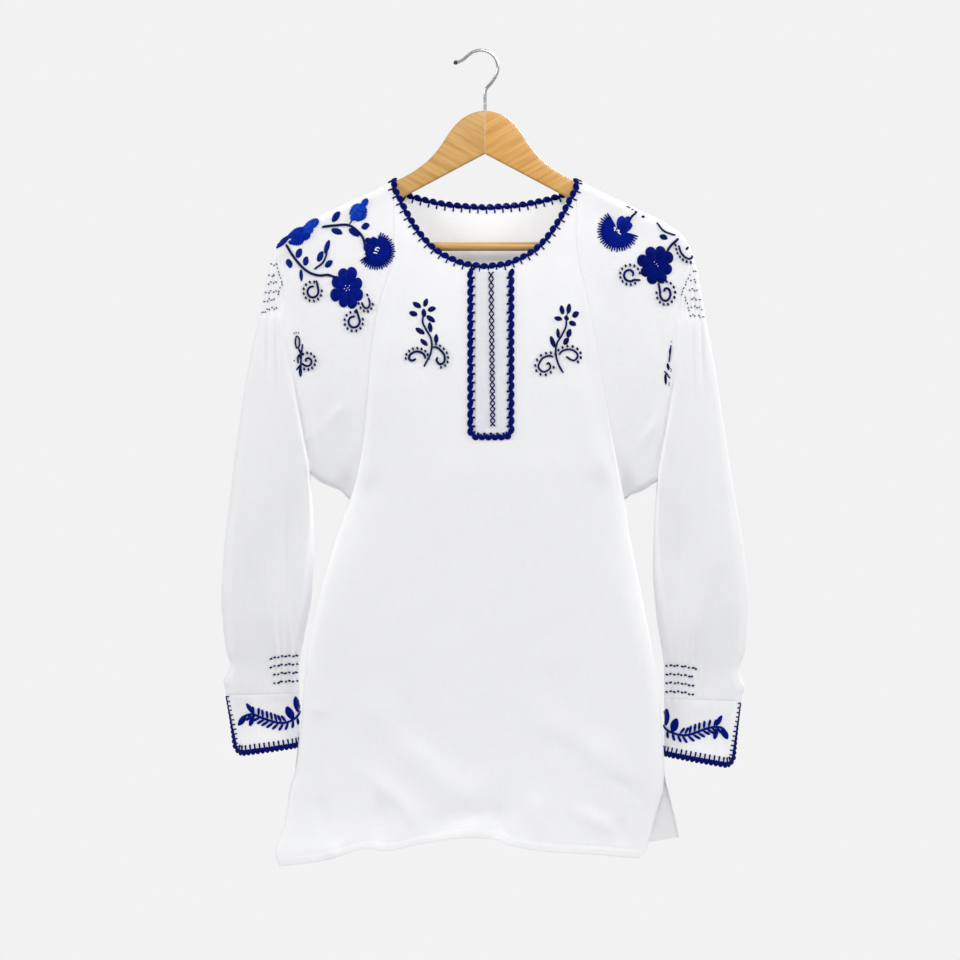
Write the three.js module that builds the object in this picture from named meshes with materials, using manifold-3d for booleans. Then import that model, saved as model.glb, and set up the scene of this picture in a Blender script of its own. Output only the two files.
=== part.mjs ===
// A pull-over folk blouse with raglan sleeves, stitched neck edging, a mock placket and slit cuffs.
// It hangs on a two-arm wooden hanger with a round trouser bar and a wire hook.
// Millimetres, +Z up, the front of the blouse faces -Y. The origin is where the hook sits on its rail.
import * as THREE from "three";
import { mergeVertices } from "three/addons/utils/BufferGeometryUtils.js";
import Module from "manifold-3d";

const wasm = await Module();
wasm.setup();

// ---------------------------------------------------------------- driving dimensions

const CLOTH = 1.2; // thickness of every cloth wall
const SEAM_GAP = 0.3; // between two pieces that meet at a seam
const LAY_GAP = 0.3; // between a panel and what is sewn on it

// Hanger.
const STEM_X = 4.3; // the hanger's middle plane
const ARM_REACH = 217; // from the middle to the tip of an arm
const ARM_THICK = 13;
const ARM_EDGE = 2.5; // rounding of the arm's long edges
const ARM_TOP_Z = -66.8; // crown of the wood
const ARM_APEX_Z = -112; // underside of the wood at the middle
const ARM_SWEEP = THREE.MathUtils.degToRad(3); // each arm turns forward by this much
const SHOULDER_FALL = 0.5; // slope of an arm's upper edge, beyond the crown
const UNDER_FALL = 0.555; // slope of its lower edge
const BAR_Z = -222.6;
const BAR_REACH = 202; // from the middle to each end of the bar
const BAR_RADIUS = 5.05;
const BAR_PLAY = 0.3; // between the bar and its socket
const WIRE_RADIUS = 1.8;
const WIRE_TIP_RADIUS = 2.5;

// Neckline and placket.
const NECK_CORNER_Z = -157; // where the raglan seams reach the neckline
const UNDERARM_Z = -510;
const UNDERARM_EASE = 12; // the body's seams turn into its side folds within this height
const VENT_Z = -820; // the side seams end here and leave a vent
const EDGING_RADIUS = 2.4; // rope of buttonhole stitches along the neckline and the cuffs
const PLACKET = { left: -6.5, right: 30, top: -250, bottom: -435.5 };
const CUFF_WIDTH = 82; // across the flattened cuff
const CUFF_SLIT = 9; // the slit on its outer side, edge to edge
const PLACKET_BORDER = 7.2; // width of the stitched border round the placket
const PLACKET_BORDER_THICK = 2;

// Seam lines of the body: raglan seams above the underarm, side seams below it.
const SEAMS = [
  { z: NECK_CORNER_Z, left: -99.5, right: 108.5 },
  { z: -205, left: -99, right: 107.5 },
  { z: -240, left: -101, right: 110.5 },
  { z: -265, left: -109, right: 116.5 },
  { z: -300, left: -119, right: 124 },
  { z: -340, left: -125, right: 132 },
  { z: -390, left: -129, right: 140.5 },
  { z: -440, left: -133, right: 149 },
  { z: -480, left: -140, right: 156.5 },
  { z: UNDERARM_Z, left: -149.5, right: 163.5 },
  { z: -545, left: -162, right: 168 },
  { z: -580, left: -173.5, right: 174.5 },
  { z: -625, left: -186, right: 183.5 },
  { z: -670, left: -195.5, right: 192.5 },
  { z: -716, left: -202, right: 200.5 },
  { z: -762, left: -205, right: 205 },
  { z: VENT_Z, left: -212, right: 208.5 },
];
const FRONT_FLARE = [
  { z: -840, left: -218, right: 207 },
  { z: -865, left: -221.5, right: 200 },
  { z: -890, left: -227, right: 193 },
  { z: -912, left: -234, right: 187 },
  { z: -928, left: -229, right: 182 },
];
const BACK_FLARE = [
  { z: -853, left: -214, right: 216 },
  { z: -887, left: -218, right: 224 },
  { z: -905, left: -219, right: 227 },
];

// How far the panels stand before (-) and behind (+) the hook's plane: at their edges and at their middle.
// "fold" is 1 where the two panels roll into each other at a side fold, and 0 on the flat of the yoke.
const DEPTHS = [
  { z: NECK_CORNER_Z, frontEdge: -15.4, front: -17, backEdge: 4.6, back: 6, fold: 0 },
  { z: -205, frontEdge: -18.5, front: -20.5, backEdge: 8, back: 9, fold: 0 },
  { z: -240, frontEdge: -20.5, front: -23.5, backEdge: 11, back: 12, fold: 0 },
  { z: -300, frontEdge: -22.5, front: -27, backEdge: 15, back: 17, fold: 0 },
  { z: -340, frontEdge: -22.5, front: -28.5, backEdge: 16, back: 19, fold: 0 },
  { z: -390, frontEdge: -22, front: -30, backEdge: 16.5, back: 21, fold: 0.05 },
  { z: -440, frontEdge: -19, front: -31, backEdge: 15, back: 23, fold: 0.25 },
  { z: -480, frontEdge: -12, front: -32, backEdge: 10, back: 24, fold: 0.7 },
  { z: UNDERARM_Z, frontEdge: 0, front: -32, backEdge: 0, back: 25, fold: 1 },
  { z: -625, frontEdge: 0, front: -32.5, backEdge: 0, back: 27, fold: 1 },
  { z: -762, frontEdge: 0, front: -34, backEdge: 0, back: 28, fold: 1 },
  { z: VENT_Z, frontEdge: 0, front: -35.5, backEdge: 0, back: 28, fold: 1 },
  { z: -870, frontEdge: -5, front: -37, backEdge: 5, back: 28.5, fold: 0.75 },
  { z: -928, frontEdge: -12, front: -40, backEdge: 10, back: 29, fold: 0.55 },
];

// Neckline and hem of each panel: height at a share of its width, from -1 at the left to 1 at the right.
const FRONT_NECKLINE = [
  { across: 0, z: -246.5 },
  { across: 0.2, z: -244 },
  { across: 0.38, z: -237 },
  { across: 0.54, z: -227.5 },
  { across: 0.68, z: -213.5 },
  { across: 0.79, z: -198 },
  { across: 0.88, z: -181.5 },
  { across: 0.95, z: -166.5 },
  { across: 1, z: NECK_CORNER_Z },
];
const BACK_NECKLINE = [
  { across: 0, z: -177.5 },
  { across: 0.35, z: -175 },
  { across: 0.6, z: -170.5 },
  { across: 0.82, z: -164.5 },
  { across: 1, z: NECK_CORNER_Z },
];
const FRONT_HEM = [
  { across: -1, z: -927 },
  { across: -0.72, z: -918 },
  { across: -0.5, z: -905 },
  { across: -0.42, z: -907.5 },
  { across: -0.22, z: -899 },
  { across: 0, z: -892.5 },
  { across: 0.16, z: -894 },
  { across: 0.25, z: -901 },
  { across: 0.45, z: -908 },
  { across: 0.75, z: -912.5 },
  { across: 0.97, z: -917 },
  { across: 1, z: -905 },
];
const BACK_HEM = [
  { across: -1, z: -900 },
  { across: -0.6, z: -893 },
  { across: -0.1, z: -884 },
  { across: 0.4, z: -890 },
  { across: 0.8, z: -903 },
  { across: 1, z: -896 },
];

// Sections of the sleeves, from the raglan seam to the cuff. Each runs from the outer fold (out) to the
// underarm fold (under).
const LEFT_SLEEVE = [
  { at: 0, outX: -100.5, outZ: -146.3, underX: -151, underZ: -510 },
  { at: 1, outX: -130, outZ: -161.5, underX: -161, underZ: -500 },
  { at: 2, outX: -165, outZ: -178.2, underX: -173, underZ: -495 },
  { at: 3, outX: -198, outZ: -194.5, underX: -184, underZ: -490 },
  { at: 4, outX: -223, outZ: -210.5, underX: -191, underZ: -484 },
  { at: 5, outX: -237, outZ: -240, underX: -195, underZ: -480.5 },
  { at: 6, outX: -245, outZ: -272, underX: -194.5, underZ: -492 },
  { at: 7, outX: -252, outZ: -303, underX: -193, underZ: -511 },
  { at: 8, outX: -263, outZ: -350, underX: -191.7, underZ: -534 },
  { at: 9, outX: -275, outZ: -420, underX: -191.2, underZ: -560 },
  { at: 10, outX: -286, outZ: -505, underX: -191.5, underZ: -590 },
  { at: 11, outX: -293.5, outZ: -570, underX: -193, underZ: -616 },
  { at: 12, outX: -296.5, outZ: -625, underX: -197.5, underZ: -644 },
  { at: 13, outX: -293, outZ: -672, underX: -203, underZ: -670 },
  { at: 14, outX: -289, outZ: -703, underX: -207, underZ: -698 },
  { at: 15, outX: -292, outZ: -733, underX: -208, underZ: -731 },
];
const RIGHT_SLEEVE = [
  { at: 0, outX: 109.5, outZ: -146.3, underX: 165, underZ: -510 },
  { at: 1, outX: 139, outZ: -161.5, underX: 171, underZ: -505 },
  { at: 2, outX: 173, outZ: -178.2, underX: 179, underZ: -502 },
  { at: 3, outX: 206, outZ: -194.5, underX: 189, underZ: -497 },
  { at: 4, outX: 231, outZ: -213, underX: 196, underZ: -492 },
  { at: 5, outX: 241.5, outZ: -242, underX: 200.5, underZ: -489.5 },
  { at: 6, outX: 247.5, outZ: -272, underX: 200, underZ: -500 },
  { at: 7, outX: 253.5, outZ: -303, underX: 198.7, underZ: -518 },
  { at: 8, outX: 264, outZ: -350, underX: 197.5, underZ: -540 },
  { at: 9, outX: 275, outZ: -420, underX: 196.8, underZ: -566 },
  { at: 10, outX: 288.5, outZ: -505, underX: 196.5, underZ: -596 },
  { at: 11, outX: 299.5, outZ: -570, underX: 198.5, underZ: -624 },
  { at: 12, outX: 305, outZ: -625, underX: 202, underZ: -654 },
  { at: 13, outX: 303, outZ: -672, underX: 206.5, underZ: -680 },
  { at: 14, outX: 297, outZ: -709, underX: 209.5, underZ: -706 },
  { at: 15, outX: 297, outZ: -740, underX: 209.5, underZ: -737 },
];

// Depths of the same sections: outY and underY are the middle plane at the two folds, top and low the half
// depths near them, and swell is what the middle of the section adds.
const SLEEVE_DEPTHS = [
  { at: 0, outY: -5.4, underY: 0, top: 10, low: 9, swell: 10 },
  { at: 1, outY: -7, underY: -1, top: 10, low: 9, swell: 10 },
  { at: 2, outY: -8.8, underY: -2, top: 10, low: 9, swell: 10 },
  { at: 3, outY: -10.5, underY: -2, top: 10, low: 9, swell: 9 },
  { at: 4, outY: -11.4, underY: -2, top: 10, low: 9, swell: 9 },
  { at: 5, outY: -11, underY: -2, top: 10, low: 10, swell: 9 },
  { at: 6, outY: -10, underY: -1, top: 10, low: 11, swell: 9 },
  { at: 7, outY: -8, underY: 1, top: 11, low: 12, swell: 9 },
  { at: 8, outY: -6, underY: 2, top: 12, low: 12, swell: 9 },
  { at: 9, outY: -3, underY: 4, top: 13, low: 13, swell: 9 },
  { at: 10, outY: 1, underY: 7, top: 14, low: 14, swell: 9 },
  { at: 11, outY: 4, underY: 10, top: 14, low: 14, swell: 10 },
  { at: 12, outY: 7, underY: 12, top: 14, low: 14, swell: 10 },
  { at: 13, outY: 10, underY: 13.5, top: 13, low: 13, swell: 9 },
  { at: 14, outY: 12, underY: 14.5, top: 12, low: 12, swell: 7 },
  { at: 15, outY: 13, underY: 15, top: 11.5, low: 11.5, swell: 6 },
];

// Sections of the cuffs, counted from the cuff's own upper edge.
const LEFT_CUFF = [
  { at: 0, outX: -290.5, outZ: -734.5, underX: -208.5, underZ: -732.5 },
  { at: 1, outX: -286, outZ: -768, underX: -208, underZ: -762 },
  { at: 2, outX: -280, outZ: -800, underX: -207.5, underZ: -790 },
];
const RIGHT_CUFF = [
  { at: 0, outX: 296, outZ: -741.5, underX: 210, underZ: -738.5 },
  { at: 1, outX: 292, outZ: -780, underX: 209.7, underZ: -768 },
  { at: 2, outX: 287.5, outZ: -814, underX: 209, underZ: -800 },
];
const CUFF_DEPTHS = [
  { at: 0, outY: 13, underY: 15, top: 11, low: 11, swell: 5 },
  { at: 1, outY: 13, underY: 15, top: 11, low: 11, swell: 6 },
  { at: 2, outY: 13, underY: 15, top: 12, low: 12, swell: 7 },
];

// Largest folds of the body panels, each a straight soft ridge (lift above 0) or trough (below 0).
const PANEL_FOLDS = [
  { side: -1, fromX: -118, fromZ: -748, toX: -12, toZ: -846, width: 17, lift: 2.6 },
  { side: -1, fromX: 70, fromZ: -745, toX: 150, toZ: -812, width: 18, lift: 2.2 },
  { side: -1, fromX: -46, fromZ: -876, toX: 18, toZ: -862, width: 16, lift: -4 },
  { side: -1, fromX: 96, fromZ: -300, toX: 128, toZ: -470, width: 15, lift: 2.4 },
  { side: -1, fromX: -116, fromZ: -330, toX: -132, toZ: -480, width: 14, lift: 2.4 },
  { side: 1, fromX: -60, fromZ: -300, toX: -92, toZ: -560, width: 18, lift: 3 },
  { side: 1, fromX: 64, fromZ: -330, toX: 104, toZ: -600, width: 18, lift: 3 },
  { side: 1, fromX: 20, fromZ: -640, toX: -30, toZ: -860, width: 20, lift: 3 },
];

// Largest fold of each sleeve: from "at" on towards the cuff the cloth stands out, below the share "from".
// It dies away at the section "end".
const SLEEVE_FOLD = { at: 5.1, reach: 1.1, end: 10, from: 0.2, lift: 3.5 };

// ---------------------------------------------------------------- reading the tables

// The value of one column where another column has the value "where", on a smooth curve through the rows.
function read(table, key, column, where) {
  const rising = table[0][key] < table[table.length - 1][key] ? table : [...table].reverse();
  const x = rising.map((row) => row[key]);
  const y = rising.map((row) => row[column]);
  const last = x.length - 1;
  if (where <= x[0]) return y[0];
  if (where >= x[last]) return y[last];
  const slope = (i) => (y[i + 1] - y[i]) / (x[i + 1] - x[i]);
  const tangent = (i) => {
    if (i === 0) return slope(0);
    if (i === last) return slope(last - 1);
    const [before, after] = [slope(i - 1), slope(i)];
    return before * after <= 0 ? 0 : (2 * before * after) / (before + after);
  };
  const i = x.findIndex((value, n) => n < last && where <= x[n + 1]);
  const step = x[i + 1] - x[i];
  const t = (where - x[i]) / step;
  const [t2, t3] = [t * t, t * t * t];
  return (
    (2 * t3 - 3 * t2 + 1) * y[i] +
    (t3 - 2 * t2 + t) * step * tangent(i) +
    (3 * t2 - 2 * t3) * y[i + 1] +
    (t3 - t2) * step * tangent(i + 1)
  );
}

// Shares of the raglan seam's height at which the panels and the sleeves have their points.
const SEAM_SHARES = [0, 0.09, 0.19, 0.29, 0.4, 0.52, 0.64, 0.75, 0.85, 0.93, 0.98, 1];

const mix = (a, b, share) => a + (b - a) * share;
const reversed = (rows) => rows.map((row) => [...row].reverse());
const evenly = (count) => Array.from({ length: count + 1 }, (_, i) => i / count);
const spacedByAngle = (count) => evenly(count).map((share) => (1 - Math.cos(Math.PI * share)) / 2);

// ---------------------------------------------------------------- walls of cloth

// Derivative along a run of points, one-sided to second order at its ends.
function tangentAt(points, i, closed) {
  const n = points.length;
  if (closed) return points[(i + 1) % n].clone().sub(points[(i + n - 1) % n]);
  if (i > 0 && i < n - 1) return points[i + 1].clone().sub(points[i - 1]);
  if (n === 2) return points[1].clone().sub(points[0]);
  const [a, b, c] = i === 0 ? [0, 1, 2] : [n - 1, n - 2, n - 3];
  const along = points[b].clone().multiplyScalar(4).addScaledVector(points[a], -3).sub(points[c]);
  return i === 0 ? along : along.negate();
}

// Unit normals of a grid of points.
function gridNormals(rows, tube) {
  return rows.map((row, i) =>
    row.map((_, j) => {
      const column = rows.map((other) => other[j]);
      return tangentAt(row, j, tube).cross(tangentAt(column, i, false)).normalize();
    }),
  );
}

// A closed wall of cloth round a grid of mid-surface points. A tube joins its last column to its first.
// lift moves the whole wall out along its normals. squareTo(i, j, point) names the axis that an edge is
// square to, so that the edge's face stays in line with its neighbour's.
function wallGeometry(rows, { tube = false, thick = CLOTH, lift = 0, squareTo = () => null } = {}) {
  const normals = gridNormals(rows, tube).map((row, i) =>
    row.map((normal, j) => {
      const axis = squareTo(i, j, rows[i][j]);
      if (axis) normal[axis] = 0;
      return normal.normalize();
    }),
  );
  const [m, n] = [rows.length, rows[0].length];
  const positions = [];
  for (const out of [lift + thick / 2, lift - thick / 2]) {
    rows.forEach((row, i) => {
      row.forEach((point, j) => positions.push(...point.clone().addScaledVector(normals[i][j], out)));
    });
  }
  const outer = (i, j) => i * n + (j % n);
  const inner = (i, j) => m * n + outer(i, j);
  const faces = [];
  const quad = (a, b, c, d) => faces.push(a, b, c, a, c, d);
  const across = tube ? n : n - 1;
  for (let i = 0; i < m - 1; i++) {
    for (let j = 0; j < across; j++) {
      quad(outer(i, j), outer(i, j + 1), outer(i + 1, j + 1), outer(i + 1, j));
      quad(inner(i, j), inner(i + 1, j), inner(i + 1, j + 1), inner(i, j + 1));
    }
  }
  for (let j = 0; j < across; j++) {
    quad(outer(0, j + 1), outer(0, j), inner(0, j), inner(0, j + 1));
    quad(outer(m - 1, j), outer(m - 1, j + 1), inner(m - 1, j + 1), inner(m - 1, j));
  }
  for (let i = 0; i < m - 1 && !tube; i++) {
    quad(outer(i, 0), outer(i + 1, 0), inner(i + 1, 0), inner(i, 0));
    quad(outer(i + 1, n - 1), outer(i, n - 1), inner(i, n - 1), inner(i + 1, n - 1));
  }
  return new THREE.BufferGeometry()
    .setAttribute("position", new THREE.Float32BufferAttribute(positions, 3))
    .setIndex(faces);
}

// ---------------------------------------------------------------- body panels

const FOLD_POWER = 2.6; // how square the side folds are in plan

// How far the folds lift a panel at a point, outwards.
function panelLift(side, x, z) {
  return PANEL_FOLDS.filter((fold) => fold.side === side).reduce((sum, fold) => {
    const [runX, runZ] = [fold.toX - fold.fromX, fold.toZ - fold.fromZ];
    const share = ((x - fold.fromX) * runX + (z - fold.fromZ) * runZ) / (runX ** 2 + runZ ** 2);
    const nearest = THREE.MathUtils.clamp(share, 0, 1);
    const away = Math.hypot(x - fold.fromX - runX * nearest, z - fold.fromZ - runZ * nearest);
    return sum + fold.lift * Math.exp(-((away / fold.width) ** 2));
  }, 0);
}

// A point of the front (side -1) or back (side 1) panel. across runs from -1 to 1, z is the height.
function panelPoint(side, across, z) {
  const edges = [...SEAMS, ...(side < 0 ? FRONT_FLARE : BACK_FLARE)];
  const [edgeName, middleName] = side < 0 ? ["frontEdge", "front"] : ["backEdge", "back"];
  const left = read(edges, "z", "left", z) + SEAM_GAP / 2;
  const right = read(edges, "z", "right", z) - SEAM_GAP / 2;
  const fold = read(DEPTHS, "z", "fold", z);
  const crown = Math.max(0, 1 - Math.abs(across) ** FOLD_POWER);
  const profile = mix(crown, crown ** (1 / FOLD_POWER), fold);
  const edge = read(DEPTHS, "z", edgeName, z) + side * SEAM_GAP;
  const middle = read(DEPTHS, "z", middleName, z);
  const x = mix(left, right, (across + 1) / 2);
  const lift = panelLift(side, x, z) * Math.min(1, crown * 3);
  return new THREE.Vector3(x, mix(edge, middle, profile) + side * lift, z);
}

// The edges of a panel are square to the raglan seam above the underarm and to the side fold below it.
function panelEdgeAxis(columns) {
  return (i, j, point) => {
    if (j > 0 && j < columns) return null;
    return point.z > UNDERARM_Z + UNDERARM_EASE ? "x" : "y";
  };
}

function panelGeometry(rows) {
  return wallGeometry(rows, { squareTo: panelEdgeAxis(rows[0].length - 1) });
}

// Rows of a panel: down its raglan edges they lie at the sleeve's own heights, and evenly below them.
function panelRows(side, neckline, hem, columns, lowerRows) {
  const shares = spacedByAngle(columns).map((share) => 2 * share - 1);
  const yoke = SEAM_SHARES.map((share) => ({ yoke: share, skirt: 0 }));
  const skirt = evenly(lowerRows).slice(1).map((share) => ({ yoke: 1, skirt: share }));
  return [...yoke, ...skirt].map((row) =>
    shares.map((across) => {
      const top = read(neckline, "across", "z", Math.abs(across));
      const bottom = read(hem, "across", "z", across);
      const middle = mix(UNDERARM_Z - 18, UNDERARM_Z, Math.abs(across));
      return panelPoint(side, across, mix(mix(top, middle, row.yoke), bottom, row.skirt));
    }),
  );
}

// A point of the front panel at a given x and z, for what is sewn on it.
function onFront(x, z) {
  const edges = [...SEAMS, ...FRONT_FLARE];
  const [left, right] = ["left", "right"].map((name) => read(edges, "z", name, z));
  return panelPoint(-1, (2 * (x - left)) / (right - left) - 1, z);
}

// ---------------------------------------------------------------- sleeves and cuffs

const SEAM_HOLD = 2.6; // sections nearer the seam than this still lean towards its line
const UNDERARM_GAP = 1; // more room where the four seams meet under the arm

// A rounded fold: 0 at the fold, 1 from "radius" onwards.
const roll = (distance, radius) => Math.sqrt(1 - (1 - Math.min(distance / radius, 1)) ** 2);

// How far the sleeve's fold lifts the cloth, outwards.
function sleeveLift(at, down) {
  const { smoothstep } = THREE.MathUtils;
  const rise = smoothstep(at, SLEEVE_FOLD.at - SLEEVE_FOLD.reach / 2, SLEEVE_FOLD.at + SLEEVE_FOLD.reach / 2);
  const fade = 1 - smoothstep(at, SLEEVE_FOLD.at + SLEEVE_FOLD.reach, SLEEVE_FOLD.end);
  return SLEEVE_FOLD.lift * rise * fade * smoothstep(down, SLEEVE_FOLD.from, SLEEVE_FOLD.from + 0.35);
}

// A point of a sleeve or cuff section. down is 0 at the outer fold and 1 at the underarm fold.
function sectionPoint(outline, depths, at, down, side) {
  const place = (column) => read(outline, "at", column, at);
  const value = (column) => read(depths, "at", column, at);
  const out = new THREE.Vector2(place("outX"), place("outZ"));
  const under = new THREE.Vector2(place("underX"), place("underZ"));
  const length = out.distanceTo(under);
  const [top, low] = [value("top"), value("low")];
  const depth = mix(top, low, down) + value("swell") * 4 * down * (1 - down);
  const rounding = roll(down * length, top) * roll((1 - down) * length, low);
  const lift = depths === SLEEVE_DEPTHS ? sleeveLift(at, down) : 0;
  const middleY = mix(value("outY"), value("underY"), down);
  const { x, y: z } = out.lerp(under, down);
  return new THREE.Vector3(x, middleY + side * (depth + lift) * rounding, z);
}

// The same point on a sleeve, drawn in to the raglan seam on the first sections.
function sleevePoint(outline, at, down, side, hand) {
  const point = sectionPoint(outline, SLEEVE_DEPTHS, at, down, side);
  const hold = Math.max(0, 1 - at / SEAM_HOLD) ** 2;
  if (hold === 0) return point;
  const start = sectionPoint(outline, SLEEVE_DEPTHS, 0, down, side);
  const gap = SEAM_GAP / 2 + UNDERARM_GAP * down ** 12;
  const seamX = read(SEAMS, "z", hand < 0 ? "left" : "right", start.z) + hand * gap;
  const seamY = read(DEPTHS, "z", side < 0 ? "frontEdge" : "backEdge", start.z);
  const middleY = mix(SLEEVE_DEPTHS[0].outY, SLEEVE_DEPTHS[0].underY, down);
  const overHanger = roll(outline[0].outZ - start.z, SLEEVE_DEPTHS[0].top);
  const drawnY = mix(point.y, mix(middleY, seamY, overHanger), hold);
  return new THREE.Vector3(point.x + (seamX - start.x) * hold, drawnY, point.z);
}

// Rings of points, each once round from the outer fold by the front to the underarm and back.
function rings(pointAt, stations, downs) {
  return stations.map((at) => [
    ...downs.map((down) => pointAt(at, down, -1)),
    ...downs.slice(1, -1).reverse().map((down) => pointAt(at, down, 1)),
  ]);
}

function sleeveGeometry(outline, hand) {
  const last = outline.length - 1;
  const stations = evenly(18).map((share) => share * last);
  const { outZ, underZ } = outline[0];
  const onSeam = SEAM_SHARES.map((share) => (mix(NECK_CORNER_Z, UNDERARM_Z, share) - outZ) / (underZ - outZ));
  const downs = [0, onSeam[0] * 0.12, onSeam[0] * 0.45, ...onSeam];
  const rows = rings((at, down, side) => sleevePoint(outline, at, down, side, hand), stations, downs);
  const squareTo = (i) => (i === 0 ? "x" : null);
  return wallGeometry(hand < 0 ? rows : reversed(rows), { tube: true, squareTo });
}

// Rows of a cuff from one edge of its slit, round by the underarm side, to the other edge.
function cuffRows(outline, hand, stations) {
  const slit = CUFF_SLIT / 2 / CUFF_WIDTH;
  const downs = spacedByAngle(10).map((share) => mix(slit, 1, share));
  const rows = stations.map((at) => [
    ...downs.map((down) => sectionPoint(outline, CUFF_DEPTHS, at, down, -1)),
    ...downs.slice(0, -1).reverse().map((down) => sectionPoint(outline, CUFF_DEPTHS, at, down, 1)),
  ]);
  return hand < 0 ? rows : reversed(rows);
}

// ---------------------------------------------------------------- stitched edgings

// A plain rope of a round section along a line of points.
function ropeGeometry(points, radius, { steps, sides }) {
  const section = new THREE.Shape(
    Array.from({ length: sides }, (_, i) => {
      const turn = (2 * Math.PI * i) / sides;
      return new THREE.Vector2(radius * Math.cos(turn), radius * Math.sin(turn));
    }),
  );
  const path = new THREE.CatmullRomCurve3(points, false, "centripetal");
  return new THREE.ExtrudeGeometry(section, { steps, extrudePath: path, bevelEnabled: false });
}

// The neck edging runs along the front neckline, over both arms of the hanger and along the back neckline,
// and its two ends meet at the left shoulder.
function neckEdgingPoints() {
  const stand = EDGING_RADIUS + LAY_GAP + 0.4;
  const shares = [-0.93, -0.84, -0.72, -0.58, -0.4, -0.2, 0, 0.2, 0.4, 0.58, 0.72, 0.84, 0.93];
  const alongPanel = (side, neckline) =>
    shares.map((across) => {
      const z = read(neckline, "across", "z", Math.abs(across));
      const here = panelPoint(side, across, z);
      const ahead = panelPoint(side, across + 0.02, read(neckline, "across", "z", Math.abs(across + 0.02)));
      const run = ahead.sub(here).normalize();
      return here.add(new THREE.Vector3(-run.z, 0, run.x).multiplyScalar(stand));
    });
  const overArm = (hand) => {
    const x = (hand < 0 ? SEAMS[0].left : SEAMS[0].right) - hand * stand;
    const [frontY, backY] = [DEPTHS[0].frontEdge, DEPTHS[0].backEdge];
    const middleY = (frontY + backY) / 2;
    return [
      new THREE.Vector3(x, frontY - 0.2, NECK_CORNER_Z + 3),
      new THREE.Vector3(x, frontY + 0.9, NECK_CORNER_Z + 11),
      new THREE.Vector3(x, middleY, NECK_CORNER_Z + 15.5),
      new THREE.Vector3(x, backY - 0.9, NECK_CORNER_Z + 11),
      new THREE.Vector3(x, backY + 0.2, NECK_CORNER_Z + 3),
    ];
  };
  const round = [
    ...alongPanel(-1, FRONT_NECKLINE),
    ...overArm(1),
    ...alongPanel(1, BACK_NECKLINE).reverse(),
    ...overArm(-1).reverse(),
  ];
  const [start, end] = [round[0], round[round.length - 1]];
  return [...round, start.clone().add(end.clone().sub(start).setLength(SEAM_GAP))];
}

// The cuff edging goes down one side of the slit, round the lower edge and up the other side.
function cuffEdgingPoints(outline, hand) {
  const rows = cuffRows(outline, hand, evenly(4).map((share) => share * (outline.length - 1)));
  const last = rows.length - 1;
  const drop = new THREE.Vector3(0, 0, -(EDGING_RADIUS + LAY_GAP + 0.1));
  const beside = (row, from, to) => row[from].clone().sub(row[to]).setLength(EDGING_RADIUS + LAY_GAP);
  const n = rows[0].length - 1;
  const down = rows.map((row) => row[0].clone().add(beside(row, 0, 1)));
  const up = rows.map((row) => row[n].clone().add(beside(row, n, n - 1))).reverse();
  down[last].addScaledVector(drop, 0.8);
  up[0].addScaledVector(drop, 0.8);
  return [...down, ...rows[last].slice(1, -1).map((p) => p.clone().add(drop)), ...up];
}

function cuffEdging(outline, hand) {
  return ropeGeometry(cuffEdgingPoints(outline, hand), EDGING_RADIUS, { steps: 40, sides: 6 });
}

// The border round the placket: down its left side, along its foot and up its right side.
function placketBorderRows() {
  const gap = LAY_GAP;
  const inner = { left: PLACKET.left - gap, right: PLACKET.right + gap, bottom: PLACKET.bottom - gap };
  const cut = 4; // cut-off corners at the foot
  const line = (grow) => {
    const [left, right, bottom] = [inner.left - grow, inner.right + grow, inner.bottom - grow];
    const corner = cut + grow * 0.4;
    return [
      ...evenly(8).map((share) => [left, mix(PLACKET.top, bottom + corner, share)]),
      ...evenly(3).map((share) => [mix(left + corner, right - corner, share), bottom]),
      ...evenly(8).map((share) => [right, mix(bottom + corner, PLACKET.top, share)]),
    ];
  };
  const [inside, outside] = [line(0), line(PLACKET_BORDER)];
  return [outside, inside].map((points) => points.map(([x, z]) => onFront(x, z)));
}

function placketBorderGeometry() {
  const lift = (CLOTH + PLACKET_BORDER_THICK) / 2 + LAY_GAP;
  return wallGeometry(placketBorderRows(), { lift, thick: PLACKET_BORDER_THICK });
}

// The placket panel with its two lower corners cut to match the border.
function placketRows() {
  const cut = 4;
  const { left, right, top, bottom } = PLACKET;
  return evenly(9).map((share) => {
    const z = mix(top, bottom, share);
    const narrow = Math.max(0, bottom + cut - z);
    return evenly(4).map((part) => onFront(mix(left + narrow, right - narrow, part), z));
  });
}

// ---------------------------------------------------------------- hanger

// One arm, drawn to the right of the middle and past it, because the joint is cut square afterwards.
function armShape() {
  const [crownEnd, joint] = [98.7, -8];
  const crownZ = -146.5;
  const tipTopZ = crownZ - (ARM_REACH - crownEnd) * SHOULDER_FALL;
  const tipLowX = ARM_REACH - 12;
  const tipLowZ = ARM_APEX_Z - tipLowX * UNDER_FALL;
  const e = ARM_EDGE; // the bevel gives this much back all round
  const shape = new THREE.Shape();
  shape.moveTo(joint + e, ARM_TOP_Z - e);
  shape.bezierCurveTo(28, ARM_TOP_Z - e, 37, -87 - e, 51, -108 - e);
  shape.bezierCurveTo(61, -122.5 - e, 75, -135 - e, crownEnd, crownZ - e);
  shape.lineTo(ARM_REACH - 8, tipTopZ + 3 - e);
  shape.quadraticCurveTo(ARM_REACH - e, tipTopZ - 1 - e, ARM_REACH - e, tipTopZ - 9);
  shape.quadraticCurveTo(ARM_REACH - e, tipLowZ + e, tipLowX, tipLowZ + e);
  shape.lineTo(joint + e, ARM_APEX_Z + e);
  shape.closePath();
  return shape;
}

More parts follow.
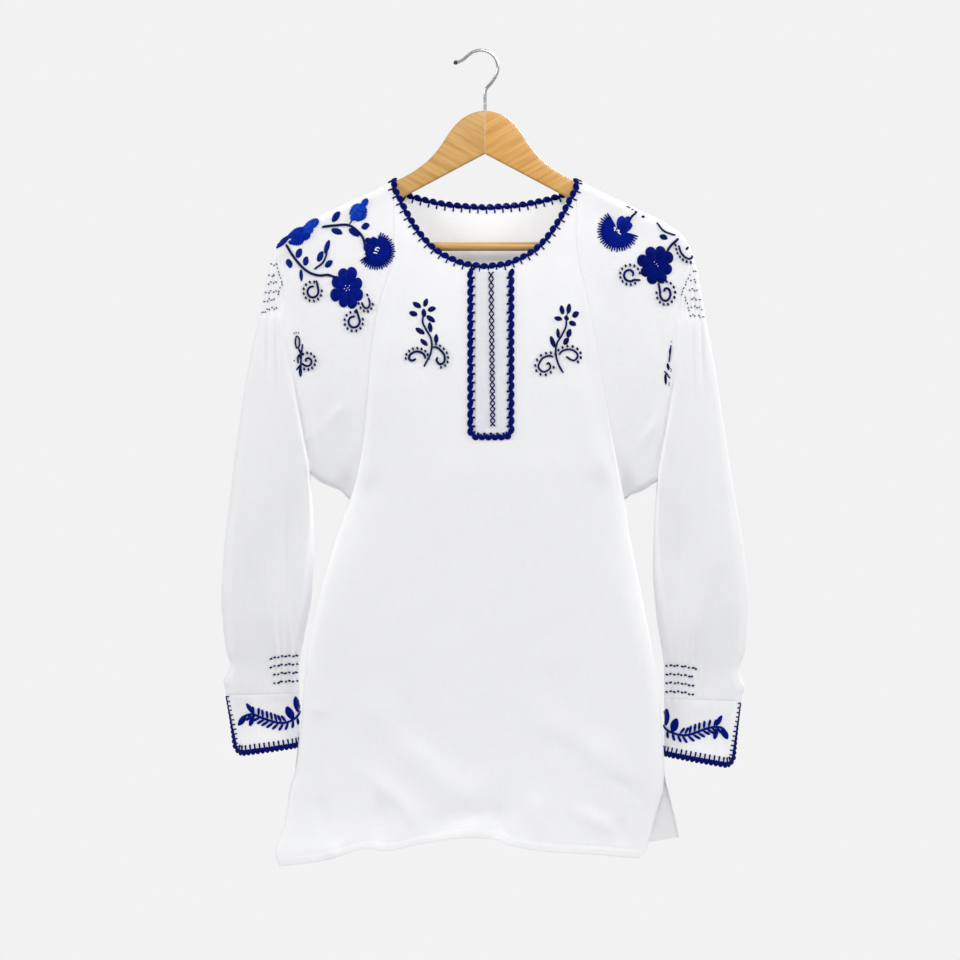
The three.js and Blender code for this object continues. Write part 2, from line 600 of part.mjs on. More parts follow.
function solidOf(geometry) {
  const bare = new THREE.BufferGeometry().setAttribute("position", geometry.getAttribute("position"));
  if (geometry.index) bare.setIndex(geometry.index);
  const merged = mergeVertices(bare, 1e-4);
  return new wasm.Manifold(
    new wasm.Mesh({
      numProp: 3,
      vertProperties: new Float32Array(merged.attributes.position.array),
      triVerts: new Uint32Array(merged.index.array),
    }),
  );
}

function geometryOf(solid) {
  const mesh = solid.getMesh();
  return new THREE.BufferGeometry()
    .setAttribute("position", new THREE.BufferAttribute(new Float32Array(mesh.vertProperties), 3))
    .setIndex(new THREE.BufferAttribute(new Uint32Array(mesh.triVerts), 1));
}

const BAR_Y = -BAR_REACH * 0.97 * Math.tan(ARM_SWEEP);

function barGeometry(radius, reach) {
  return new THREE.CylinderGeometry(radius, radius, 2 * reach, 20)
    .rotateZ(Math.PI / 2)
    .translate(STEM_X, BAR_Y, BAR_Z);
}

// An arm with the bar's socket drilled in it.
function armGeometry(hand) {
  const blank = new THREE.ExtrudeGeometry(armShape(), {
    depth: ARM_THICK - 2 * ARM_EDGE,
    bevelThickness: ARM_EDGE,
    bevelSize: ARM_EDGE,
    bevelSegments: 2,
    curveSegments: 9,
  });
  blank.translate(0, 0, -(ARM_THICK - 2 * ARM_EDGE) / 2).rotateX(Math.PI / 2);
  if (hand < 0) blank.rotateZ(Math.PI);
  blank.rotateZ(hand < 0 ? ARM_SWEEP : -ARM_SWEEP).translate(STEM_X, 0, 0);
  const socket = barGeometry(BAR_RADIUS + BAR_PLAY, BAR_REACH + BAR_PLAY);
  const ownSide = solidOf(blank).trimByPlane([hand, 0, 0], hand * STEM_X + SEAM_GAP / 2);
  return geometryOf(ownSide.subtract(solidOf(socket)));
}

// Centre line of the hook's wire, from the wood to its tip.
const HOOK_LINE = [
  [STEM_X, ARM_TOP_Z + 0.4],
  [STEM_X, -56],
  [4.4, -47],
  [6.2, -41.5],
  [11.9, -35],
  [16.8, -27],
  [18.9, -18.4],
  [16.9, -8.6],
  [10, -1],
  [0, WIRE_RADIUS],
  [-8.6, 0.1],
  [-15.2, -4.3],
  [-21.6, -9.6],
  [-25.6, -11.4],
].map(([x, z]) => new THREE.Vector3(x, 0, z));

// ---------------------------------------------------------------- the object

function finish(color, roughness, metalness = 0) {
  return new THREE.MeshStandardMaterial({ color, roughness, metalness });
}

const COTTON = finish(0xf3f4f6, 0.85);
const COTTON_BACK = finish(0xf0f1f4, 0.85);
const BLUE_THREAD = finish(0x16258c, 0.55);
const WOOD = finish(0xcf9a45, 0.42);
const STEEL = finish(0xc9ccd0, 0.25, 1);
const BLACK_TIP = finish(0x2b2b2d, 0.5);

const blouse = new THREE.Group();

function add(name, geometry, material) {
  const mesh = new THREE.Mesh(geometry, material);
  mesh.name = name;
  blouse.add(mesh);
}

add("front", panelGeometry(panelRows(-1, FRONT_NECKLINE, FRONT_HEM, 22, 11)), COTTON);
add("back", panelGeometry(reversed(panelRows(1, BACK_NECKLINE, BACK_HEM, 18, 9))), COTTON_BACK);
add("sleeve_left", sleeveGeometry(LEFT_SLEEVE, -1), COTTON);
add("sleeve_right", sleeveGeometry(RIGHT_SLEEVE, 1), COTTON);
add("cuff_left", wallGeometry(cuffRows(LEFT_CUFF, -1, [0, 0.7, 1.4, 2])), COTTON);
add("cuff_right", wallGeometry(cuffRows(RIGHT_CUFF, 1, [0, 0.7, 1.4, 2])), COTTON);
add("placket", wallGeometry(placketRows(), { lift: CLOTH + LAY_GAP }), COTTON);
add("placket_border", placketBorderGeometry(), BLUE_THREAD);
add("neck_edging", ropeGeometry(neckEdgingPoints(), EDGING_RADIUS, { steps: 70, sides: 6 }), BLUE_THREAD);
add("cuff_edging_left", cuffEdging(LEFT_CUFF, -1), BLUE_THREAD);
add("cuff_edging_right", cuffEdging(RIGHT_CUFF, 1), BLUE_THREAD);
add("hanger_arm_left", armGeometry(-1), WOOD);
add("hanger_arm_right", armGeometry(1), WOOD);
add("trouser_bar", barGeometry(BAR_RADIUS, BAR_REACH), WOOD);
add("hook", ropeGeometry(HOOK_LINE, WIRE_RADIUS, { steps: 38, sides: 8 }), STEEL);
add("hook_tip", new THREE.SphereGeometry(WIRE_TIP_RADIUS, 12, 8).translate(-29.2, 0, -12.2), BLACK_TIP);

export default blouse;
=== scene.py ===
"""Looks of a white folk blouse with blue stitching, hung flat on a two-arm wooden hanger.

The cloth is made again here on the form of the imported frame, with its folds, gathers and hems. Every
stitched edge and motif is made of single threads laid on that cloth. The part's tables and formulas are
repeated in millimetres, +Z up, the front facing -Y, and meshes are turned to metres when they are made.
"""

import math

import bmesh
import bpy
import numpy as np
from mathutils import Matrix, Vector
from mathutils.bvhtree import BVHTree


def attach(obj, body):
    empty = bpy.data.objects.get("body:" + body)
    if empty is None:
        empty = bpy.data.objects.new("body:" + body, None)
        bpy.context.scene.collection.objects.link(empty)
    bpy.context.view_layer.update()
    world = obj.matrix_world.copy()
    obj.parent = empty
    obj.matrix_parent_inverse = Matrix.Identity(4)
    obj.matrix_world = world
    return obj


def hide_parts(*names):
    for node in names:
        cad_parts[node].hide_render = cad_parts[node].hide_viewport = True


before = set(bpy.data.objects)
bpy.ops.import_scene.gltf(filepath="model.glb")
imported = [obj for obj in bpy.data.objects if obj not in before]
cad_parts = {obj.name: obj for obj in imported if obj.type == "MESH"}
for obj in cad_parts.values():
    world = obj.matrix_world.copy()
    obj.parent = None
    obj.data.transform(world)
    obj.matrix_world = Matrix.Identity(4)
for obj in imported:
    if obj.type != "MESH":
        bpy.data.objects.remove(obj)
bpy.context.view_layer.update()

MM = 0.001
CLOTH = 0.6  # wall shown: thin cotton, just thick enough for its edges to read
FRONT, BACK = -1, 1  # signs along Y
LEFT, RIGHT = -1, 1  # signs along X, as seen from the front


# ------------------------------------------------------------------ tables and curves


def table(columns, *rows):
    """Named columns of numbers."""
    return {name: np.array(values, float) for name, values in zip(columns.split(), zip(*rows))}


def joined(first, second):
    """One table under another."""
    return {name: np.concatenate([first[name], second[name]]) for name in second}


def curve(rows, key, column, where):
    """Values of a column at places along another one, on a smooth curve that never overshoots."""
    order = np.argsort(rows[key])
    x, y = rows[key][order], rows[column][order]
    slopes = np.diff(y) / np.diff(x)
    before, after = slopes[:-1], slopes[1:]
    same = before * after > 0
    inner = np.where(same, 2 * before * after / np.where(same, before + after, 1), 0)
    tangents = np.concatenate([slopes[:1], inner, slopes[-1:]])
    where = np.clip(where, x[0], x[-1])
    i = np.clip(np.searchsorted(x, where) - 1, 0, len(x) - 2)
    step = x[i + 1] - x[i]
    t = (where - x[i]) / step
    return (
        (2 * t**3 - 3 * t**2 + 1) * y[i]
        + (t**3 - 2 * t**2 + t) * step * tangents[i]
        + (3 * t**2 - 2 * t**3) * y[i + 1]
        + (t**3 - t**2) * step * tangents[i + 1]
    )


def mix(a, b, share):
    return a + (b - a) * share


def smoothstep(value, low, high):
    t = np.clip((value - low) / (high - low), 0, 1)
    return t * t * (3 - 2 * t)


def roll(distance, radius):
    """A rounded fold in profile: 0 at the fold, 1 from the radius onwards."""
    return np.sqrt(1 - (1 - np.minimum(distance / radius, 1)) ** 2)


def unit(vectors):
    return vectors / np.maximum(np.linalg.norm(vectors, axis=-1, keepdims=True), 1e-9)


def smooth_path(points, spacing=0.5, steps=16):
    """Evenly spaced points on a smooth curve through a few points (Catmull-Rom)."""
    given = np.array(points, float)
    ends = 2 * given[:1] - given[1:2], 2 * given[-1:] - given[-2:-1]
    knots = np.concatenate([ends[0], given, ends[1]])
    t = np.linspace(0, 1, steps, endpoint=False)[:, None]
    parts = []
    for a, b, c, d in zip(knots, knots[1:], knots[2:], knots[3:]):
        parts.append(
            0.5 * (2 * b + (c - a) * t + (2 * a - 5 * b + 4 * c - d) * t**2 + (3 * b - a - 3 * c + d) * t**3)
        )
    return resampled(np.concatenate([*parts, given[-1:]]), spacing)


def lengths_along(points, axis=0):
    """Lengths from the start of a line, or of each row or column of a grid, to its points."""
    steps = np.linalg.norm(np.diff(points, axis=axis), axis=-1)
    return np.insert(np.cumsum(steps, axis=axis), 0, 0, axis=axis)


def sampled(points, lengths, places):
    """Values of a line's points at lengths along it."""
    return np.stack([np.interp(places, lengths, column) for column in points.T], axis=-1)


def resampled(points, spacing, count=None):
    """The same line in even steps."""
    lengths = lengths_along(points)
    count = count or max(2, round(lengths[-1] / spacing) + 1)
    return sampled(points, lengths, np.linspace(0, lengths[-1], count))


# ------------------------------------------------------------------ the garment's form

NECK_CORNER_Z = -157  # where the neckline meets the raglan seams
UNDERARM_Z = -510
CROWN_POWER = 2.6  # how square a panel's section is
SEAM_HOLD = 2.6  # sections of a sleeve that its raglan seam keeps in place
SEAM_DIP, SEAM_WIDTH = 0.45, 1.8  # how deep and how wide a sewn seam is drawn in
SEAM_RISE = 60  # height over the underarm from which it is so in full
HEM_TURN = 9  # height of the hem's stitch line over the edge

SEAMS = table(
    "z left right",
    (-157, -99.5, 108.5), (-205, -99, 107.5), (-240, -101, 110.5), (-265, -109, 116.5),
    (-300, -119, 124), (-340, -125, 132), (-390, -129, 140.5), (-440, -133, 149),
    (-480, -140, 156.5), (-510, -149.5, 163.5), (-545, -162, 168), (-580, -173.5, 174.5),
    (-625, -186, 183.5), (-670, -195.5, 192.5), (-716, -202, 200.5), (-762, -205, 205),
    (-820, -212, 208.5),
)  # fmt: skip
FRONT_EDGES = joined(SEAMS, table(
    "z left right",
    (-840, -218, 207), (-865, -221.5, 200), (-890, -227, 193), (-912, -234, 187), (-928, -229, 182),
))  # fmt: skip
BACK_EDGES = joined(SEAMS, table("z left right", (-853, -214, 216), (-887, -218, 224), (-905, -219, 227)))
DEPTHS = table(
    "z front_edge front back_edge back fold",
    (-157, -15.4, -17, 4.6, 6, 0), (-205, -18.5, -20.5, 8, 9, 0), (-240, -20.5, -23.5, 11, 12, 0),
    (-300, -22.5, -27, 15, 17, 0), (-340, -22.5, -28.5, 16, 19, 0), (-390, -22, -30, 16.5, 21, 0.05),
    (-440, -19, -31, 15, 23, 0.25), (-480, -12, -32, 10, 24, 0.7), (-510, 0, -32, 0, 25, 1),
    (-625, 0, -32.5, 0, 27, 1), (-762, 0, -34, 0, 28, 1), (-820, 0, -35.5, 0, 28, 1),
    (-870, -5, -37, 5, 28.5, 0.75), (-928, -12, -40, 10, 29, 0.55),
)  # fmt: skip
FRONT_NECKLINE = table(
    "across z",
    (0, -246.5), (0.2, -244), (0.38, -237), (0.54, -227.5), (0.68, -213.5), (0.79, -198),
    (0.88, -181.5), (0.95, -166.5), (1, -157),
)  # fmt: skip
BACK_NECKLINE = table("across z", (0, -177.5), (0.35, -175), (0.6, -170.5), (0.82, -164.5), (1, -157))
FRONT_HEM = table(
    "across z",
    (-1, -927), (-0.72, -918), (-0.5, -905), (-0.42, -907.5), (-0.22, -899), (0, -892.5),
    (0.16, -894), (0.25, -901), (0.45, -908), (0.75, -912.5), (0.97, -917), (1, -905),
)  # fmt: skip
BACK_HEM = table("across z", (-1, -900), (-0.6, -893), (-0.1, -884), (0.4, -890), (0.8, -903), (1, -896))

LEFT_SLEEVE = table(
    "at out_x out_z under_x under_z",
    (0, -100.5, -146.3, -151, -510), (1, -130, -161.5, -161, -500), (2, -165, -178.2, -173, -495),
    (3, -198, -194.5, -184, -490), (4, -223.5, -210.5, -191, -484), (5, -239, -240, -195, -480.5),
    (6, -246.3, -272, -194.5, -492), (7, -252, -303, -193, -511), (8, -263, -350, -191.7, -534),
    (9, -275, -420, -191.2, -560), (10, -286, -505, -191.5, -590), (11, -293.5, -570, -193, -616),
    (12, -296.5, -625, -197.5, -644), (13, -293, -672, -203, -670), (14, -289, -703, -207, -698),
    (15, -292, -733, -208, -731),
)  # fmt: skip
RIGHT_SLEEVE = table(
    "at out_x out_z under_x under_z",
    (0, 109.5, -146.3, 165, -510), (1, 139, -161.5, 171, -505), (2, 173, -178.2, 179, -502),
    (3, 206, -194.5, 189, -497), (4, 231, -213, 196, -492), (5, 243, -242, 200.5, -489.5),
    (6, 249.3, -272, 200, -500), (7, 254.8, -303, 198.7, -518), (8, 264, -350, 197.5, -540),
    (9, 275, -420, 196.8, -566), (10, 288.5, -505, 196.5, -596), (11, 299.5, -570, 198.5, -624),
    (12, 305, -625, 202, -654), (13, 303, -672, 206.5, -680), (14, 297, -709, 209.5, -706),
    (15, 297, -740, 209.5, -737),
)  # fmt: skip
SLEEVE_DEPTHS = table(
    "at out_y under_y top low swell",
    (0, -5.4, 0, 10, 9, 10), (1, -7, -1, 10, 9, 10), (2, -8.8, -2, 10, 9, 10), (3, -10.5, -2, 10, 9, 9),
    (4, -11.4, -2, 10, 9, 9), (5, -11, -2, 10, 10, 9), (6, -10, -1, 10, 11, 9), (7, -8, 1, 11, 12, 9),
    (8, -6, 2, 12, 12, 9), (9, -3, 4, 13, 13, 9), (10, 1, 7, 14, 14, 9), (11, 4, 10, 14, 14, 10),
    (12, 7, 12, 14, 14, 10), (13, 10, 13.5, 13, 13, 9), (14, 12, 14.5, 12, 12, 7),
    (15, 13, 15, 11.5, 11.5, 6),
)  # fmt: skip
# The cuffs' upper edges reach up to the sleeves' last sections, because here the seam is closed.
LEFT_CUFF = table(
    "at out_x out_z under_x under_z",
    (0, -292, -733.1, -208, -731.1), (1, -286, -768, -208, -762), (2, -280, -800, -207.5, -790),
)  # fmt: skip
RIGHT_CUFF = table(
    "at out_x out_z under_x under_z",
    (0, 297, -740.1, 209.5, -737.1), (1, 292, -780, 209.7, -768), (2, 287.5, -814, 209, -800),
)  # fmt: skip
CUFF_DEPTHS = table(
    "at out_y under_y top low swell",
    (0, 13, 15, 11.5, 11.5, 6), (1, 13, 15, 11, 11, 6), (2, 13, 15, 12, 12, 7),
)  # fmt: skip
CUFF_WIDTH, CUFF_SLIT, CUFF_CORNER = 82, 2, 9

# ------------------------------------------------------------------ folds, gathers and creases

# A panel's largest folds: soft straight ridges, or troughs where the height is below 0.
FOLD = "from_x from_z to_x to_z width height"
FRONT_FOLDS = table(
    FOLD,
    (-118, -748, -12, -846, 19, 1.7), (70, -745, 150, -812, 20, 1.5), (-46, -876, 18, -862, 17, -2.2),
    (96, -300, 128, -470, 15, 2.4), (-116, -330, -132, -480, 14, 2.4),
)  # fmt: skip
BACK_FOLDS = table(
    FOLD, (-60, -300, -92, -560, 18, 3), (64, -330, 104, -600, 18, 3), (20, -640, -30, -860, 20, 3),
)  # fmt: skip

# A crease runs in an arc from its start by its middle to its end. width is that of its flanks, lift is its
# height (below 0 a trough). lean above 0 steepens the flank on its right-hand side as it runs. hold is 1
# where it starts at full height, as below a row of gathering stitches, and 0 where it dies at both ends.
CREASE = "start_x start_z middle_x middle_z end_x end_z width lift lean hold"
FRONT_CREASES = table(
    CREASE,
    (-115, -745, -58, -790, 10, -853, 15, -1.4, 0.3, 0),
    (-124, -762, -70, -813, -13, -867, 12, 0.8, -0.3, 0), (44, -756, 118, -790, 181, -842, 13, 0.9, 0.4, 0),
    (135, -819, 167, -839, 198, -859, 9, -1.2, 0, 0), (-203, -753, -186, -749, -167, -753, 6, 1.8, 0.4, 0),
    (-113, -842, -115, -881, -111, -912, 9, -2.6, 0.3, 0),
    (-47, -901, -13, -883, 18, -885, 13, 2.6, -0.3, 0), (16, -853, 21, -881, 19, -901, 8, -2.4, 0.2, 0),
    (-172, -893, -167, -910, -172, -924, 8, 2.2, 0, 0),
    (-124, -317, -125, -421, -131, -517, 6.5, 2.4, 0.5, 0),
    (135, -420, 143, -477, 164, -534, 8, 2.2, -0.4, 0),
    (-147, -534, -155, -625, -172, -728, 16, 2.0, 0.3, 0),
    (156, -557, 170, -648, 198, -739, 15, 2.0, -0.3, 0), (-13, -448, -47, -511, -58, -625, 24, 1.3, 0.2, 0),
    (38, -448, 73, -534, 90, -671, 26, 1.4, -0.2, 0), (-150, -807, -92, -853, -58, -897, 10, 1.5, 0.3, 0),
    (90, -853, 135, -876, 181, -893, 10, 1.6, 0, 0), (-81, -671, -92, -762, -87, -842, 20, -1.3, 0, 0),
    (73, -682, 90, -762, 135, -853, 19, -1.5, 0, 0), (-90, -215, -84, -262, -92, -312, 12, 1.2, 0.3, 0),
    (99, -220, 92, -270, 104, -330, 12, 1.3, -0.3, 0), (-108, -300, -86, -420, -96, -560, 20, 1.2, 0.2, 0),
    (118, -330, 101, -450, 114, -600, 20, 1.2, -0.2, 0),
    (-190, -842, -180, -872, -186, -915, 8, -1.6, 0.2, 0),
    (150, -868, 158, -886, 160, -906, 8, -1.8, 0.2, 0), (60, -838, 62, -870, 70, -905, 11, 1.7, 0.3, 0),
)  # fmt: skip
BACK_CREASES = table(
    CREASE,
    (-92, -210, -70, -300, -78, -420, 14, 2.0, 0.3, 0), (96, -215, 78, -300, 84, -400, 14, 2.0, -0.3, 0),
    (-118, -330, -108, -430, -132, -530, 10, 2.2, 0.4, 0),
    (128, -330, 118, -430, 146, -540, 10, 2.2, -0.4, 0), (-30, -190, -22, -300, -34, -450, 20, 1.3, 0.2, 0),
    (36, -190, 30, -310, 42, -470, 22, 1.3, -0.2, 0), (-150, -560, -120, -660, -140, -800, 16, 2.4, 0.3, 0),
    (140, -560, 118, -680, 150, -830, 16, 2.4, -0.3, 0),
    (-70, -600, -84, -720, -60, -870, 20, -2.2, 0.2, 0), (70, -620, 84, -740, 58, -880, 20, -2.0, -0.2, 0),
    (-180, -780, -120, -820, -60, -880, 12, 2.0, 0.3, 0), (40, -760, 110, -800, 180, -860, 13, 2.2, 0.3, 0),
    (0, -520, 8, -640, -4, -760, 24, 1.6, 0.2, 0), (-110, -850, -104, -870, -112, -892, 9, 2.2, 0, 0),
    (120, -860, 112, -880, 118, -902, 9, 2.2, 0, 0),
)  # fmt: skip
LEFT_SLEEVE_CREASES = table(
    CREASE,
    (-194, -481, -203, -397, -229, -285, 6.5, 3.0, -0.6, 0.6),
    (-244, -322, -262, -470, -264, -700, 17, 3.6, 0.2, 0.4),
    (-250, -302, -257, -352, -267, -415, 3.6, 1.2, 0.2, 1),
    (-244, -303, -249, -358, -256, -431, 3.6, 1.5, 0.2, 1),
    (-237, -303, -239, -363, -243, -455, 4.2, 1.8, 0.2, 1),
    (-230, -302, -227, -363, -224, -443, 4.0, 1.6, -0.2, 1),
    (-224, -300, -217, -340, -207, -397, 4.2, 1.3, -0.3, 1),
    (-153, -400, -167, -414, -181, -436, 5, 1.8, 0.4, 0),
    (-212, -450, -193, -438, -173, -424, 4.5, 1.4, 0.4, 0),
    (-216, -489, -222, -580, -210, -671, 8, -2.0, 0.3, 0),
    (-250, -455, -258, -568, -250, -671, 10, 1.8, -0.2, 0),
    (-289, -671, -293, -699, -284, -728, 8, 2.2, 0, 0),
    (-110, -170, -112, -240, -122, -330, 9, -2.2, 0.3, 0),
    (-122, -226, -132, -262, -136, -310, 13, -3.0, 0.4, 0.2),
    (-161, -188, -206, -200, -241, -232, 11, 1.6, 0.3, 0),
    (-125, -340, -147, -420, -172, -477, 8, -1.8, 0.3, 0),
    (-140, -190, -158, -250, -150, -330, 10, 1.3, 0.3, 0),
    (-178, -210, -190, -290, -184, -380, 10, -1.4, -0.3, 0),
    (-148, -330, -160, -390, -150, -460, 8, 1.4, 0.3, 0),
    (-268, -560, -262, -620, -272, -690, 7, -1.6, 0.3, 0),
    (-232, -590, -238, -650, -230, -700, 6, 1.6, -0.3, 0),
)  # fmt: skip
RIGHT_SLEEVE_CREASES = table(
    CREASE,
    (198, -493, 207, -403, 238, -289, 6.5, 3.0, 0.6, 0.6),
    (248, -323, 266, -478, 271, -706, 17, 3.6, -0.2, 0.4),
    (230, -303, 226, -340, 219, -397, 4.0, 1.3, 0.3, 1),
    (237, -304, 236, -357, 233, -443, 4.0, 1.7, 0.2, 1),
    (244, -304, 246, -363, 248, -455, 4.2, 1.8, -0.2, 1),
    (250, -305, 257, -357, 267, -431, 3.6, 1.4, -0.2, 1),
    (256, -303, 264, -350, 276, -410, 3.6, 1.1, -0.2, 1), (208, -405, 188, -437, 167, -462, 6, 2.2, 0.4, 0),
    (218, -500, 224, -591, 213, -682, 8, -2.0, -0.3, 0), (255, -454, 263, -568, 253, -676, 10, 1.8, 0.2, 0),
    (296, -688, 301, -716, 293, -739, 8, 2.2, 0, 0), (118, -222, 130, -262, 139, -312, 12, -8.0, -0.5, 0.3),
    (116, -176, 150, -196, 196, -222, 14, -3.6, -0.4, 0.3),
    (113, -158, 140, -174, 168, -196, 8, -1.4, 0.3, 0), (136, -317, 145, -397, 161, -477, 9, -1.6, 0.3, 0),
    (181, -317, 172, -386, 181, -443, 10, 1.3, -0.3, 0), (150, -205, 158, -280, 150, -350, 10, 1.4, 0.3, 0),
    (190, -260, 200, -330, 192, -390, 10, -1.2, 0.3, 0), (274, -570, 268, -630, 280, -700, 7, -1.6, 0.3, 0),
    (236, -600, 242, -660, 234, -706, 6, 1.6, -0.3, 0),
)  # fmt: skip
# The unevenness of hanging cloth in three layers: height, wave length and number of waves.
RIPPLES = ((0.55, 130, 8), (0.16, 38, 8), (0.05, 13, 12))
PANEL_SEED, SLEEVE_SEED = 5, 20
PANELS = {
    FRONT: ("front", FRONT_EDGES, FRONT_NECKLINE, FRONT_HEM, FRONT_FOLDS, FRONT_CREASES),
    BACK: ("back", BACK_EDGES, BACK_NECKLINE, BACK_HEM, BACK_FOLDS, BACK_CREASES),
}


def ridge(x, z, crease, steps=20):
    """Height of one crease over points x, z."""
    x0, z0, x1, z1, x2, z2, width, lift, lean, hold = crease
    near = 3.2 * width  # next to nothing is left of it past this
    inside = (
        (x > min(x0, x1, x2) - near) & (x < max(x0, x1, x2) + near)
        & (z > min(z0, z1, z2) - near) & (z < max(z0, z1, z2) + near)
    )  # fmt: skip
    height = np.zeros(x.shape)
    if not inside.any():
        return height
    t = np.linspace(0, 1, steps + 1)
    bend_x, bend_z = 2 * x1 - (x0 + x2) / 2, 2 * z1 - (z0 + z2) / 2
    line_x = (1 - t) ** 2 * x0 + 2 * t * (1 - t) * bend_x + t**2 * x2
    line_z = (1 - t) ** 2 * z0 + 2 * t * (1 - t) * bend_z + t**2 * z2
    run_x, run_z = np.diff(line_x), np.diff(line_z)
    off_x = x[inside][:, None] - line_x[:-1]
    off_z = z[inside][:, None] - line_z[:-1]
    share = np.clip((off_x * run_x + off_z * run_z) / (run_x**2 + run_z**2), 0, 1)
    away = np.hypot(off_x - share * run_x, off_z - share * run_z)
    best = away.argmin(axis=1)
    row = np.arange(len(best))
    along = (best + share[row, best]) / steps
    turned = run_x[best] * off_z[row, best] - run_z[best] * off_x[row, best]
    flank = width * (1 + 0.55 * lean * np.sign(turned))
    start = mix(smoothstep(along, 0, 0.35), smoothstep(along, -0.1, 0.02), hold)
    taper = start * (1 - smoothstep(along, 0.45, 1))
    height[inside] = lift * np.exp(-((away[row, best] / flank) ** 2)) * taper
    return height


def ripples(x, z, length, seed, waves=8):
    """The gentle unevenness of hanging cloth: a few long waves that cross each other, about 1 high."""
    rng = np.random.default_rng(seed)
    total = np.zeros(x.shape)
    for _ in range(waves):
        turn, phase = rng.uniform(0, 2 * np.pi, 2)
        wave = 2 * np.pi / (length * rng.uniform(0.6, 1.5))
        total += np.sin(wave * (x * np.cos(turn) + 0.6 * z * np.sin(turn)) + phase)
    return total / waves**0.5


def creased(x, z, creases, seed, amount=1.0):
    """All creases of one face of cloth, with its ripples."""
    lift = sum(ridge(x, z, crease) for crease in zip(*creases.values())) * amount
    for layer, (height, length, waves) in enumerate(RIPPLES):
        lift = lift + height * ripples(x, z, length, seed + layer, waves)
    return lift


def hem_step(above):
    """A turned hem stands out below its stitch line, which is drawn in. above is the height over the edge."""
    turned = 0.4 * (1 - smoothstep(above, HEM_TURN - 0.8, HEM_TURN + 0.2))
    return turned - 0.2 * np.exp(-(((above - HEM_TURN) / 0.9) ** 2))


# ------------------------------------------------------------------ points of the cloth


def panel_lift(folds, x, z):
    lift = np.zeros(np.shape(x))
    for from_x, from_z, to_x, to_z, width, height in zip(*folds.values()):
        run_x, run_z = to_x - from_x, to_z - from_z
        share = np.clip(((x - from_x) * run_x + (z - from_z) * run_z) / (run_x**2 + run_z**2), 0, 1)
        away = np.hypot(x - from_x - run_x * share, z - from_z - run_z * share)
        lift += height * np.exp(-((away / width) ** 2))
    return lift


def panel_surface(side, across, z):
    """Points of the front or back panel at a share of its width, -1 to 1, and a height."""
    name, edges, _, hem, folds, creases = PANELS[side]
    left, right = curve(edges, "z", "left", z), curve(edges, "z", "right", z)
    x = mix(left, right, (across + 1) / 2)
    crown = np.clip(1 - np.abs(across) ** CROWN_POWER, 0, 1)
    profile = mix(crown, crown ** (1 / CROWN_POWER), curve(DEPTHS, "z", "fold", z))
    y = mix(curve(DEPTHS, "z", name + "_edge", z), curve(DEPTHS, "z", name, z), profile)
    # The placket stiffens the cloth round it, and the folds die out at the seams.
    calm = 1 - 0.8 * np.exp(-(((x - 12) / 40) ** 2)) * smoothstep(z, -450, -400)
    lift = panel_lift(folds, x, z) + calm * creased(x, z, creases, PANEL_SEED + side)
    y = y + side * lift * np.minimum(1, 3 * crown)
    y = y + side * hem_step(z - curve(hem, "across", "z", across))
    # The raglan and side seams are drawn in by their stitches.
    from_seam = np.minimum(x - left, right - x)
    above_underarm = smoothstep(z, UNDERARM_Z, UNDERARM_Z + SEAM_RISE)
    y = y - side * SEAM_DIP * np.exp(-((from_seam / SEAM_WIDTH) ** 2)) * above_underarm
    return np.stack([x, y, z], axis=-1)


def panel_points(side, columns, yoke_rows, skirt_rows, hem_rows=8, hem_start=0.968):
    """A panel as rows of points from its neckline to its hem, closer where the hem is turned."""
    even = np.linspace(-1, 1, columns)
    across = mix(even, -np.cos(np.pi * (even + 1) / 2), 0.5)[None, :]
    _, _, neckline, hem, _, _ = PANELS[side]
    top = curve(neckline, "across", "z", np.abs(across))
    bottom = curve(hem, "across", "z", across)
    middle = mix(UNDERARM_Z - 18, UNDERARM_Z, np.abs(across))
    down_yoke = np.linspace(0, 1, yoke_rows)[:, None]
    down_skirt = np.concatenate([
        np.linspace(0, hem_start, skirt_rows)[1:], np.linspace(hem_start, 1, hem_rows)[1:],
    ])[:, None]  # fmt: skip
    z = np.concatenate([mix(top, middle, down_yoke), mix(middle, bottom, down_skirt)])
    return panel_surface(side, across + 0 * z, z)


def section(outline, depths, at, down):
    """The flat place and the rounding of a point on a sleeve or cuff section."""
    place = {c: curve(outline, "at", c, at) for c in ("out_x", "out_z", "under_x", "under_z")}
    value = {c: curve(depths, "at", c, at) for c in ("out_y", "under_y", "top", "low", "swell")}
    length = np.hypot(place["under_x"] - place["out_x"], place["under_z"] - place["out_z"])
    depth = mix(value["top"], value["low"], down) + value["swell"] * 4 * down * (1 - down)
    rounding = roll(down * length, value["top"]) * roll((1 - down) * length, value["low"])
    x = mix(place["out_x"], place["under_x"], down)
    z = mix(place["out_z"], place["under_z"], down)
    return x, mix(value["out_y"], value["under_y"], down), z, depth, rounding


def wrist_gathers(x, z, outline, pleats=9):
    """Pleats that run up from the smocked rows on the inner half of the wrist, and soft ones beside them."""
    out_x, under_x = outline["out_x"][-1], outline["under_x"][-1]
    across = (x - out_x) / (under_x - out_x)
    # They wander a little, and each dies out at its own height.
    pleat = 2 * np.pi * (across * pleats + 0.35 * np.sin(across * 9.1) + 0.25 * np.sin(z / 21.0))
    above = z - mix(outline["out_z"][-1], outline["under_z"][-1], across)
    reach = mix(60, 95, smoothstep(across, 0.3, 0.7)) * (1 + 0.25 * np.sin(across * 23))
    strength = mix(0.15, 0.4, smoothstep(across, 0.35, 0.6)) * smoothstep(above, 0, 14)
    fade = 1 - smoothstep(above, 0.3 * reach, 1.5 * reach)
    return strength * fade * (0.8 * np.sin(pleat) + 0.3 * np.sin(2.3 * pleat + 1))


